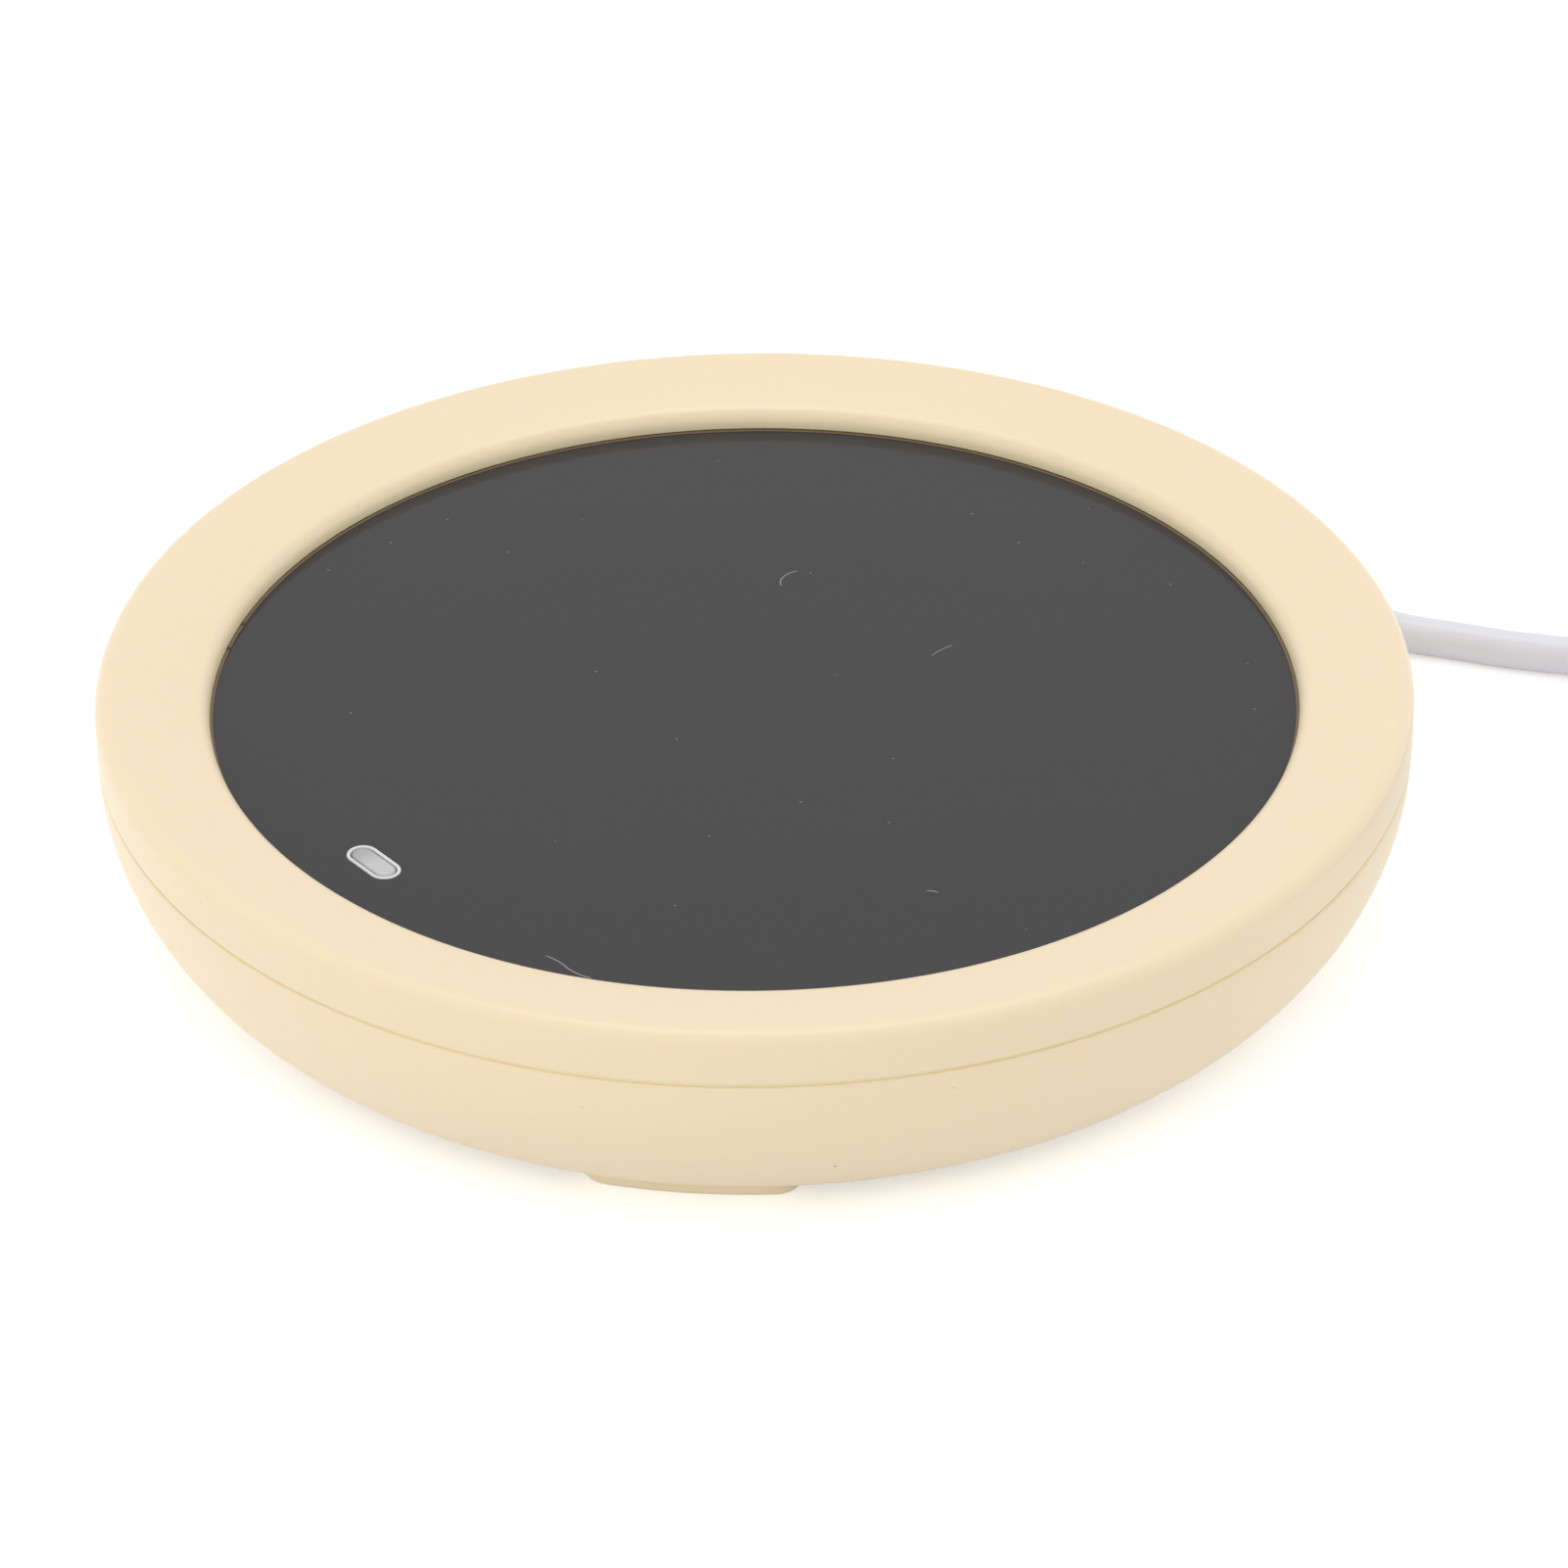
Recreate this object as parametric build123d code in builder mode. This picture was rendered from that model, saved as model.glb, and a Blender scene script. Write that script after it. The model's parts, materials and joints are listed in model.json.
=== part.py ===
from build123d import *
from math import cos, pi, radians, sin, sqrt, tan
import os

# An electric mug warmer: a low round case with a glass top, a film heater under the glass,
# one small push key, four arc-shaped feet and a thin lead that ends in a USB plug.
#
# Frame: millimetres, +Z up. The feet stand on Z = 0 and the round case is centred on the Z axis.
# The power key is on the -Y side and the lead leaves the case on the +Y side.

# ---------------------------------------------------------------------------------------------
# Driving dimensions
# ---------------------------------------------------------------------------------------------

# Case
case_radius = 64.8            # bottom shell at its widest
side_run = 9.474              # how far the curved side runs in, from its widest to the flat bottom
side_crest_drop = 0.6         # how far below the seam the side is at its widest
bottom_edge_round = 2.5
inner_edge_round = 1.5
wall = 2.4
foot_proud = 1.6              # how far the feet hold the shell off the table
seam_drop = 5.3               # from the rim's ridge down to the top of the shell's outer wall
seam_gap = 0.3
tongue_height = 2.2           # lap joint behind the seam
tongue_thickness = 1.0
tongue_clearance = 0.2

# Bezel
bezel_overhang = 0.05
rim_height = 24.8             # top of the bezel, at its ridge
rim_ridge_inset = 1.8         # from the bezel's outer face to the ridge
rim_width = 11.1              # from the case's widest to the lip
rim_drop = 1.65               # how far the bezel's top dips from its ridge to its inner lip
rim_crown = 0.12              # how far that slope bulges in its middle
rim_round = 1.6
lip_round = 1.2
rim_wall = 2.6                # thickness of the bezel's top at its ridge
glass_fence = 1.5             # wall that centres the glass
bezel_boss_radius = 2.0
boss_root = 0.3               # how far a boss runs into the wall above it

# Glass
glass_recess = 3.6            # from the rim's ridge down to the glass
glass_thickness = 3.0
glass_overlap = 2.8           # how far the glass runs under the lip
glass_clearance = 0.3
glass_edge_chamfer = 0.3
gasket_thickness = 0.3
gasket_setback = 0.6          # from the lip to the gasket's inner edge

# Heater stack under the glass
spreader_thickness = 1.0
film_margin = 1.0             # how far the film stops short of the spreader's edge
film_thickness = 0.3
insulation_thickness = 3.2
insulation_clearance = 0.2
dish_wall = 2.0
dish_floor = 1.5
carrier_plate = 2.0
dish_shroud_gap = 1.5         # between the dish and the box around the key's lamps

# Power key
key_inset = 7.28              # from the lip to the key's centre
key_slot_length = 6.85
key_slot_width = 3.25
key_ring = 0.52               # width of the white ring around the key
key_gap = 0.2
key_proud = 0.1
key_travel = 0.4
trim_fit = 0.03               # between the trim ring and the glass
trim_flange_margin = 0.8
trim_flange_thickness = 0.6
key_flange_margin = 0.7
key_flange_thickness = 0.7
key_stop_gap = 0.05
stem_length_x = 2.4
stem_width_y = 1.6

# Tactile switch
switch_side = 6.0
switch_height = 3.5
plunger_radius = 1.5
plunger_clearance = 0.12
plunger_proud = 1.2
plunger_length = 1.9

# Control board
board_length = 36.0
board_depth = 22.0
board_thickness = 1.6
header_clearance = 0.4        # between the tallest header and the dish above it
board_front_margin = 7.7      # from the key's centre to the board's front edge
board_post_inset = 2.6
post_radius = 2.3

# Screws
screw_radius = 1.0            # small screws
screw_head_radius = 1.9
screw_head_height = 1.2
screw_clearance = 0.2
pilot_clearance = 0.05
recess_length = 1.2           # cross recess in a head, in head radii
recess_width = 0.25
recess_depth = 0.5            # in head heights
carrier_screw_outset = 1.3    # from the glass fence to the screws that hold the carrier
carrier_screw_bite = 2.6
case_screw_radius = 1.3
case_screw_head_radius = 2.4
case_screw_head_height = 1.7
case_screw_bite = 7.0
case_boss_radius = 4.0
carrier_boss_radius = 3.2
case_joint_height = 8.0       # where the shell's bosses meet the carrier's bosses

# Feet
foot_inset = 3.126            # from the edge of the flat bottom to the middle of a foot
foot_width = 5.0
foot_sweep = 17.4             # angle between the centres of a foot's round ends
foot_pocket_depth = 0.8
foot_clearance = 0.1
foot_edge_round = 0.5
quarter_angles = (-45, 45, 135, 225)

# Lead
cord_radius = 2.0
exit_height = 7.6
gland_neck_radius = 2.7
gland_nose_radius = 2.4
gland_flange_radius = 3.5
gland_flange_thickness = 1.6
gland_length = 10.0
gland_recess = 0.352          # how far the gland's end lies inside the case's side
gland_clearance = 0.1
saddle_half_width = 4.8
saddle_cover = 0.5            # how far the saddle stands above the gland's flange
clamp_setback = 5.5           # from the gland's flange to the clamp
clamp_post_x = 6.5
clamp_length = 18.0
clamp_width = 5.0
clamp_thickness = 1.6
jacket_inside = 9.0           # length of jacket behind the gland
core_radius = 0.7

# Route of the lead from the gland to its coil, and the coil that it is put away in
cord_route = [
    (0, 67.0, 7.6), (2.05, 73.9, 5.6), (6.6, 78.75, 2.2), (12.55, 83.3, 2.0), (18.85, 87.2, 2.05),
]
coil_centre = (68.9, 93.0)
coil_outer_turn = 28.0        # radius of the outermost turn's centre line
coil_turns_wide = 4
coil_turns_high = 2
coil_lift = 0.8               # the coil lies on its tie
coil_margin = 0.15            # the coil's outer shape stands this far round its turns
coil_in_heading = 43.0
coil_out_heading = -84.0
coil_edge_round = 1.8
coil_stub = 16.0              # straight length that leaves the ring at each end
tie_thickness = 0.5
tie_width = 7.0
tie_bearing = -160.0
tie_slack = 0.05
# Runs from the coil to the plug: length, heading, share of the drop to the plug's axis
tail_runs = ((9.0, -84.0, 0.0), (9.0, -76.0, 1.0), (8.0, -76.0, 0.0))

# USB plug
relief_length = 8.0
relief_radius = 3.2
plug_length = 20.0
plug_width = 16.0
plug_height = 8.0
plug_edge_round = 1.8
usb_length = 12.0
usb_width = 12.0
usb_height = 4.5
usb_wall = 0.3
tongue_plate_width = 10.8
tongue_plate_height = 1.9
tongue_plate_length = 11.7
contact_thickness = 0.2
contact_width = 1.0
contact_length = 9.6
contact_pitch = 2.3

# Small parts on the board
chip_size = (5.0, 4.0, 1.5)
chip_gap = 2.0                # from the shroud
transistor_size = (6.5, 6.0, 2.2)
transistor_gap = 1.5          # from the shroud
chip_row_offset = 1.3         # from the key's centre line
led_size = (1.6, 0.8, 0.6)
led_reach = 5.2
shroud_wall = 1.0
shroud_inner_x = 14.0
shroud_inner_y = 7.2
shroud_window_gap = 0.3
capacitor_size = (3.2, 1.6, 1.6)
capacitor_pitch = 8.0
capacitor_inset = 6.0         # from the board's rear edge
resistor_size = (2.0, 1.25, 0.55)
resistor_row_x = 2.8
resistor_pitch = 2.8
resistor_inset = 2.0          # from the board's rear edge
header_size = (5.0, 4.0, 2.5)
header_setback = 5.7          # from the lead slot to the headers
heater_header_x = 10.0
lead_radius = 0.5
lead_pitch = 2.6              # between the pins of a lead's header
sensor_pitch = 1.3
wire_bend = 1.6
wire_lift = 0.05              # a wire's clearance over what it lies on
thermistor_x = -10.0
thermistor_place = 21.3       # from the lead slot
thermistor_size = (3.0, 2.0, 1.4)
thermistor_round = 0.6
fuse_x = 5.0
fuse_place = 10.3             # from the lead slot
fuse_radius = 1.2
fuse_length = 8.0
fuse_wire_radius = 0.4
fuse_wire_length = 4.0        # at each end
terminal_size = (2.4, 3.0, 0.2)
groove_gap = 0.3
lead_slot_x = -2.0
lead_slot_inset = 5.4         # from the dish's wall
lead_slot_size = (20.0, 4.2)
core_start_x = 0.9            # the two cores leave the jacket this far off its axis
core_pads_x = (-5.6, -3.4)
core_pads_inset = 3.3         # from the board's rear edge
core_drop_runs = (3.0, 10.0, 22.0)  # from the jacket's end: starts down, lands, runs straight
core_rise_runs = (5.0, 1.5)   # from the board's rear edge: starts up, clears the edge
core_crest = 0.8

# ---------------------------------------------------------------------------------------------
# Values that follow from the driving dimensions
# ---------------------------------------------------------------------------------------------

shell_bottom = foot_proud
floor_top = shell_bottom + wall
mid_floor = shell_bottom + wall / 2
seam_height = rim_height - seam_drop
crest_height = seam_height - side_crest_drop
side_rise = crest_height - shell_bottom
side_curve_radius = (side_run**2 + side_rise**2) / (2 * side_run)
bezel_radius = case_radius + bezel_overhang
rim_ridge_radius = bezel_radius - rim_ridge_inset
bezel_ceiling = rim_height - rim_wall
lip_radius = case_radius - rim_width
glass_top = rim_height - glass_recess
glass_radius = lip_radius + glass_overlap
glass_bottom = glass_top - glass_thickness
lip_under = glass_top + gasket_thickness
tongue_top = seam_height + tongue_height
skirt_inner = case_radius - wall + tongue_thickness + tongue_clearance
fence_inner = glass_radius + glass_clearance
fence_outer = fence_inner + glass_fence
carrier_screw_reach = fence_outer + carrier_screw_outset
key_reach = lip_radius - key_inset
key_y = -key_reach
dish_outer = key_reach - shroud_inner_y / 2 - shroud_wall - dish_shroud_gap
dish_inner = dish_outer - dish_wall
spreader_radius = dish_inner - insulation_clearance
film_radius = spreader_radius - film_margin
spreader_bottom = glass_bottom - spreader_thickness
film_bottom = spreader_bottom - film_thickness
insulation_bottom = film_bottom - insulation_thickness
dish_bottom = insulation_bottom - dish_floor
flange_bottom = glass_bottom - carrier_plate
board_top = dish_bottom - header_clearance - header_size[2]
board_height = board_top - board_thickness
board_front_y = key_y - board_front_margin
board_centre_y = board_front_y + board_depth / 2
board_rear_y = board_front_y + board_depth
lead_slot_y = lead_slot_inset - dish_inner
header_y = lead_slot_y - header_setback
fuse_y = lead_slot_y + fuse_place
thermistor_y = lead_slot_y + thermistor_place
plunger_top = board_top + switch_height + plunger_proud
foot_pocket_top = shell_bottom + foot_pocket_depth
case_head_top = foot_pocket_top + case_screw_head_height + screw_clearance
saddle_height = exit_height + gland_flange_radius + saddle_cover
centred_low = (Align.CENTER, Align.CENTER, Align.MIN)
centred_high = (Align.CENTER, Align.CENTER, Align.MAX)


def side_radius(height, inset=0.0):
    """Radius of the shell's curved side at a height, or of the surface inset below it."""
    reach = side_curve_radius - inset
    drop = height - crest_height
    return case_radius - side_curve_radius + sqrt(reach**2 - drop**2)


foot_reach = side_radius(shell_bottom) - foot_inset
gland_end_y = side_radius(exit_height) - gland_recess
gland_flange_y = gland_end_y - gland_length
clamp_y = gland_flange_y - clamp_setback
jacket_end_y = gland_flange_y - jacket_inside


def polar(radius, angle, height=0.0):
    """A point at a radius and an angle in degrees about the Z axis."""
    return (radius * cos(radians(angle)), radius * sin(radians(angle)), height)


def beyond(point, heading, length, rise=0.0):
    """The point at a length from another along a heading, given in degrees from +X."""
    x, y, z = point
    return (x + length * cos(radians(heading)), y + length * sin(radians(heading)), z + rise)


def bend_radii(points):
    """The radius of each bend in a route: as large as its two straight runs allow."""
    radii = []
    for before, here, after in zip(points, points[1:], points[2:]):
        run_in = Vector(*here) - Vector(*before)
        run_out = Vector(*after) - Vector(*here)
        half_turn = radians(run_in.get_angle(run_out)) / 2
        radii.append(0.45 * min(run_in.length, run_out.length) / tan(half_turn))
    return radii


def finish(piece, name):
    """Label a finished piece and write it under its own name."""
    piece.part.label = name
    export_step(piece.part, f"parts/{name}.step")


def foot_arc(angle):
    """Centre line of the foot at an angle about the Z axis."""
    return CenterArc((0, 0), foot_reach, angle - foot_sweep / 2, foot_sweep, mode=Mode.PRIVATE)


os.makedirs("parts", exist_ok=True)

# ---------------------------------------------------------------------------------------------
# Bottom shell: a bowl with a lap-joint tongue, foot pockets, bosses and the lead's saddle
# ---------------------------------------------------------------------------------------------

post_x = board_length / 2 - board_post_inset
post_y = board_depth / 2 - board_post_inset
board_posts = [
    (side * post_x, board_centre_y + end * post_y)
    for side in (-1, 1)
    for end in (-1, 1)
]
clamp_posts = [(-clamp_post_x, clamp_y), (clamp_post_x, clamp_y)]
clamp_seat = exit_height + cord_radius
case_screw_places = [polar(foot_reach, angle) for angle in quarter_angles]

with BuildPart() as bottom_shell:
    with BuildSketch(Plane.XZ) as shell_section:
        side_middle = (shell_bottom + seam_height) / 2
        inner_middle = (floor_top + crest_height) / 2
        tongue_inner = side_radius(crest_height, wall)
        with BuildLine():
            base = Line((0, shell_bottom), (side_radius(shell_bottom), shell_bottom))
            side = ThreePointArc(
                base @ 1,
                (side_radius(side_middle), side_middle),
                (side_radius(seam_height), seam_height),
            )
            lap = Polyline(
                side @ 1,
                (tongue_inner + tongue_thickness, seam_height),
                (tongue_inner + tongue_thickness, tongue_top),
                (tongue_inner, tongue_top),
                (tongue_inner, crest_height),
            )
            inside = ThreePointArc(
                lap @ 1,
                (side_radius(inner_middle, wall), inner_middle),
                (side_radius(floor_top, wall), floor_top),
            )
            Polyline(inside @ 1, (0, floor_top), (0, shell_bottom))
        make_face()
        outer_corner = shell_section.vertices().sort_by_distance(base @ 1)[0]
        fillet(outer_corner, bottom_edge_round)
        inner_corner = shell_section.vertices().sort_by_distance(inside @ 1)[0]
        fillet(inner_corner, inner_edge_round)
    revolve(axis=Axis.Z)
    # Bosses over the case screws, and posts under the board and the cord clamp
    with BuildSketch(Plane.XY.offset(mid_floor)):
        with Locations(*case_screw_places):
            Circle(case_boss_radius)
    extrude(amount=case_joint_height - mid_floor)
    with BuildSketch(Plane.XY.offset(mid_floor)):
        with Locations(*board_posts):
            Circle(post_radius)
    extrude(amount=board_height - mid_floor)
    with BuildSketch(Plane.XY.offset(mid_floor)):
        with Locations(*clamp_posts):
            Circle(post_radius)
    extrude(amount=clamp_seat - mid_floor)
    # Saddle that holds the gland behind its flange
    saddle_front = gland_flange_y + gland_flange_thickness
    saddle_middle = (mid_floor + saddle_height) / 2
    with BuildSketch(Plane.YZ):
        with BuildLine():
            saddle_rear = ThreePointArc(
                (side_radius(mid_floor, wall / 2), mid_floor),
                (side_radius(saddle_middle, wall / 2), saddle_middle),
                (side_radius(saddle_height, wall / 2), saddle_height),
            )
            Polyline(
                saddle_rear @ 1,
                (saddle_front, saddle_height),
                (saddle_front, mid_floor),
                saddle_rear @ 0,
            )
        make_face()
    extrude(amount=saddle_half_width, both=True)
    with BuildSketch(Plane.XZ.offset(-saddle_front)):
        with Locations((0, exit_height)):
            Circle(gland_neck_radius + gland_clearance)
    extrude(amount=-(case_radius - saddle_front), mode=Mode.SUBTRACT)
    # Pockets for the feet, with the case screws sunk in them
    with BuildSketch():
        for angle in quarter_angles:
            SlotArc(foot_arc(angle), foot_width + 2 * foot_clearance)
    extrude(amount=foot_pocket_top, mode=Mode.SUBTRACT)
    with Locations(*case_screw_places):
        Cylinder(
            case_screw_radius + screw_clearance,
            case_joint_height,
            align=centred_low,
            mode=Mode.SUBTRACT,
        )
        Cylinder(
            case_screw_head_radius + screw_clearance,
            case_head_top,
            align=centred_low,
            mode=Mode.SUBTRACT,
        )
    # Pilot holes in the posts
    pilot_radius = screw_radius + pilot_clearance
    with Locations(*[(x, y, floor_top) for x, y in board_posts + clamp_posts]):
        Cylinder(pilot_radius, clamp_seat, align=centred_low, mode=Mode.SUBTRACT)
finish(bottom_shell, "bottom_shell")

# ---------------------------------------------------------------------------------------------
# Top bezel: the ring around the glass, with a skirt, a fence for the glass and screw bosses
# ---------------------------------------------------------------------------------------------

carrier_screw_angles = (0, 90, 180, 270)
carrier_screw_places = [polar(carrier_screw_reach, angle) for angle in carrier_screw_angles]

with BuildPart() as top_bezel:
    with BuildSketch(Plane.XZ) as bezel_section:
        lip_height = rim_height - rim_drop
        crown = ((rim_ridge_radius + lip_radius) / 2, (rim_height + lip_height) / 2 + rim_crown)
        skirt_bottom = seam_height + seam_gap
        with BuildLine():
            under = Polyline(
                (lip_radius, lip_height),
                (lip_radius, lip_under),
                (fence_inner, lip_under),
                (fence_inner, glass_bottom + glass_clearance),
                (fence_outer, glass_bottom + glass_clearance),
                (fence_outer, bezel_ceiling),
                (skirt_inner, bezel_ceiling),
                (skirt_inner, skirt_bottom),
                (bezel_radius, skirt_bottom),
                (bezel_radius, rim_height),
                (rim_ridge_radius, rim_height),
            )
            ThreePointArc(under @ 1, crown, under @ 0)
        make_face()
        rim_corner = bezel_section.vertices().sort_by_distance((bezel_radius, rim_height))[0]
        fillet(rim_corner, rim_round)
        lip_corner = bezel_section.vertices().sort_by_distance((lip_radius, lip_height))[0]
        fillet(lip_corner, lip_round)
    revolve(axis=Axis.Z)
    with BuildSketch(Plane.XY.offset(glass_bottom)):
        with Locations(*carrier_screw_places):
            Circle(bezel_boss_radius)
    extrude(amount=bezel_ceiling + boss_root - glass_bottom)
    with Locations(*[(x, y, glass_bottom) for x, y, _ in carrier_screw_places]):
        Cylinder(pilot_radius, carrier_screw_bite, align=centred_low, mode=Mode.SUBTRACT)
finish(top_bezel, "top_bezel")

# ---------------------------------------------------------------------------------------------
# Glass plate, its gasket, and the trim ring set in its key slot
# ---------------------------------------------------------------------------------------------

with BuildPart() as glass_plate:
    with BuildSketch(Plane.XY.offset(glass_bottom)):
        Circle(glass_radius)
        with Locations((0, key_y)):
            SlotOverall(key_slot_length, key_slot_width, mode=Mode.SUBTRACT)
    extrude(amount=glass_thickness)
    top_edges = glass_plate.edges().filter_by(GeomType.CIRCLE).group_by(Axis.Z)[-1]
    chamfer(top_edges.sort_by(SortBy.RADIUS)[-1], glass_edge_chamfer)
finish(glass_plate, "glass_plate")

with BuildPart() as glass_gasket:
    with BuildSketch(Plane.XY.offset(glass_top)):
        Circle(glass_radius - glass_edge_chamfer)
        Circle(lip_radius + gasket_setback, mode=Mode.SUBTRACT)
    extrude(amount=gasket_thickness)
finish(glass_gasket, "glass_gasket")

key_bore_length = key_slot_length - 2 * key_ring
key_bore_width = key_slot_width - 2 * key_ring
trim_bottom = glass_bottom - trim_flange_thickness

with BuildPart() as key_trim:
    with BuildSketch(Plane.XY.offset(trim_bottom)):
        with Locations((0, key_y)):
            SlotOverall(
                key_slot_length + 2 * trim_flange_margin,
                key_slot_width + 2 * trim_flange_margin,
            )
            SlotOverall(key_bore_length, key_bore_width, mode=Mode.SUBTRACT)
    extrude(amount=trim_flange_thickness)
    with BuildSketch(Plane.XY.offset(glass_bottom)):
        with Locations((0, key_y)):
            SlotOverall(key_slot_length - 2 * trim_fit, key_slot_width - 2 * trim_fit)
            SlotOverall(key_bore_length, key_bore_width, mode=Mode.SUBTRACT)
    extrude(amount=glass_thickness + key_proud)
finish(key_trim, "key_trim")

# ---------------------------------------------------------------------------------------------
# Power key: a lit cap that slides in the trim ring, with a stop flange and a stem to the switch
# ---------------------------------------------------------------------------------------------

key_flange_top = trim_bottom - key_stop_gap
key_flange_bottom = key_flange_top - key_flange_thickness

with BuildPart() as power_key:
    with BuildSketch(Plane.XY.offset(key_flange_top)):
        with Locations((0, key_y)):
            SlotOverall(key_bore_length - 2 * key_gap, key_bore_width - 2 * key_gap)
    extrude(amount=glass_top + key_proud - key_flange_top)
    with BuildSketch(Plane.XY.offset(key_flange_bottom)):
        with Locations((0, key_y)):
            SlotOverall(
                key_bore_length + 2 * key_flange_margin,
                key_bore_width + 2 * key_flange_margin,
            )
    extrude(amount=key_flange_thickness)
    with BuildSketch(Plane.XY.offset(plunger_top)):
        with Locations((0, key_y)):
            Rectangle(stem_length_x, stem_width_y)
    extrude(amount=key_flange_bottom - plunger_top)
finish(power_key, "power_key")

plunger_bottom = plunger_top - plunger_length

with BuildPart() as switch_plunger:
    with Locations((0, key_y, plunger_bottom)):
        Cylinder(plunger_radius, plunger_length, align=centred_low)
finish(switch_plunger, "switch_plunger")

switch_well = plunger_bottom - key_travel - plunger_clearance

with BuildPart() as tact_switch:
    with Locations((0, key_y, board_top)):
        Box(switch_side, switch_side, switch_height, align=centred_low)
    with Locations((0, key_y, switch_well)):
        Cylinder(
            plunger_radius + plunger_clearance,
            switch_height,
            align=centred_low,
            mode=Mode.SUBTRACT,
        )
finish(tact_switch, "tact_switch")

with BuildPart() as light_shroud:
    with BuildSketch(Plane.XY.offset(board_top)):
        with Locations((0, key_y)):
            Rectangle(shroud_inner_x + 2 * shroud_wall, shroud_inner_y + 2 * shroud_wall)
            Rectangle(shroud_inner_x, shroud_inner_y, mode=Mode.SUBTRACT)
    extrude(amount=glass_bottom - board_top)
finish(light_shroud, "light_shroud")

# ---------------------------------------------------------------------------------------------
# Heater stack: aluminium spreader, film element and insulation
# ---------------------------------------------------------------------------------------------

with BuildPart() as heat_spreader:
    with Locations((0, 0, spreader_bottom)):
        Cylinder(spreader_radius, spreader_thickness, align=centred_low)
finish(heat_spreader, "heat_spreader")

with BuildPart() as film_heater:
    with Locations((0, 0, film_bottom)):
        Cylinder(film_radius, film_thickness, align=centred_low)
finish(film_heater, "film_heater")

sensor_places = [thermistor_x + side * sensor_pitch / 2 for side in (-1, 1)]
fuse_height = film_bottom - fuse_radius
fuse_end_y = fuse_y + fuse_length / 2 + fuse_wire_length
fuse_front_y = fuse_y - fuse_length / 2 - fuse_wire_length
terminal_bottom = film_bottom - terminal_size[2]
first_terminal = (0, lead_slot_y + lead_slot_size[1] / 2 + terminal_size[1])
fuse_terminal = (fuse_x, fuse_end_y)

with BuildPart() as heater_insulation:
    with Locations((0, 0, insulation_bottom)):
        Cylinder(spreader_radius, insulation_thickness, align=centred_low)
    # Slot for the leads, and pockets that open towards the film: sensor, fuse and first terminal
    with Locations((lead_slot_x, lead_slot_y, insulation_bottom)):
        Box(*lead_slot_size, insulation_thickness, align=centred_low, mode=Mode.SUBTRACT)
    sensor_groove = thermistor_y + thermistor_size[1] / 2 + groove_gap - lead_slot_y
    with Locations((thermistor_x, lead_slot_y, film_bottom)):
        Box(
            thermistor_size[0] + 2 * groove_gap,
            sensor_groove,
            thermistor_size[2] + groove_gap,
            align=(Align.CENTER, Align.MIN, Align.MAX),
            mode=Mode.SUBTRACT,
        )
    fuse_groove = fuse_end_y + terminal_size[1] / 2 + groove_gap - lead_slot_y
    with Locations((fuse_x, lead_slot_y, film_bottom)):
        Box(
            2 * (fuse_radius + groove_gap),
            fuse_groove,
            2 * fuse_radius + groove_gap,
            align=(Align.CENTER, Align.MIN, Align.MAX),
            mode=Mode.SUBTRACT,
        )
    terminal_groove = first_terminal[1] + terminal_size[1] / 2 + groove_gap - lead_slot_y
    with Locations((first_terminal[0], lead_slot_y, film_bottom)):
        Box(
            terminal_size[0] + 2 * groove_gap,
            terminal_groove,
            terminal_size[2] + 2 * lead_radius + groove_gap,
            align=(Align.CENTER, Align.MIN, Align.MAX),
            mode=Mode.SUBTRACT,
        )
finish(heater_insulation, "heater_insulation")

with BuildPart() as heater_terminals:
    for x, y in (first_terminal, fuse_terminal):
        with Locations((x, y, terminal_bottom)):
            Box(*terminal_size, align=centred_low)
finish(heater_terminals, "heater_terminals")

with BuildPart() as thermistor:
    with Locations((thermistor_x, thermistor_y, film_bottom)):
        Box(*thermistor_size, align=centred_high)
    fillet(thermistor.edges().filter_by(Axis.Z), thermistor_round)
finish(thermistor, "thermistor")

with BuildPart() as thermal_fuse:
    with BuildSketch(Plane.XZ.offset(-(fuse_y - fuse_length / 2))):
        with Locations((fuse_x, fuse_height)):
            Circle(fuse_radius)
    extrude(amount=-fuse_length)
    with BuildSketch(Plane.XZ.offset(-fuse_front_y)):
        with Locations((fuse_x, fuse_height)):
            Circle(fuse_wire_radius)
    extrude(amount=-(fuse_end_y - fuse_front_y))
finish(thermal_fuse, "thermal_fuse")

# ---------------------------------------------------------------------------------------------
# Heater carrier: the dish that holds the stack up to the glass
# ---------------------------------------------------------------------------------------------

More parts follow.
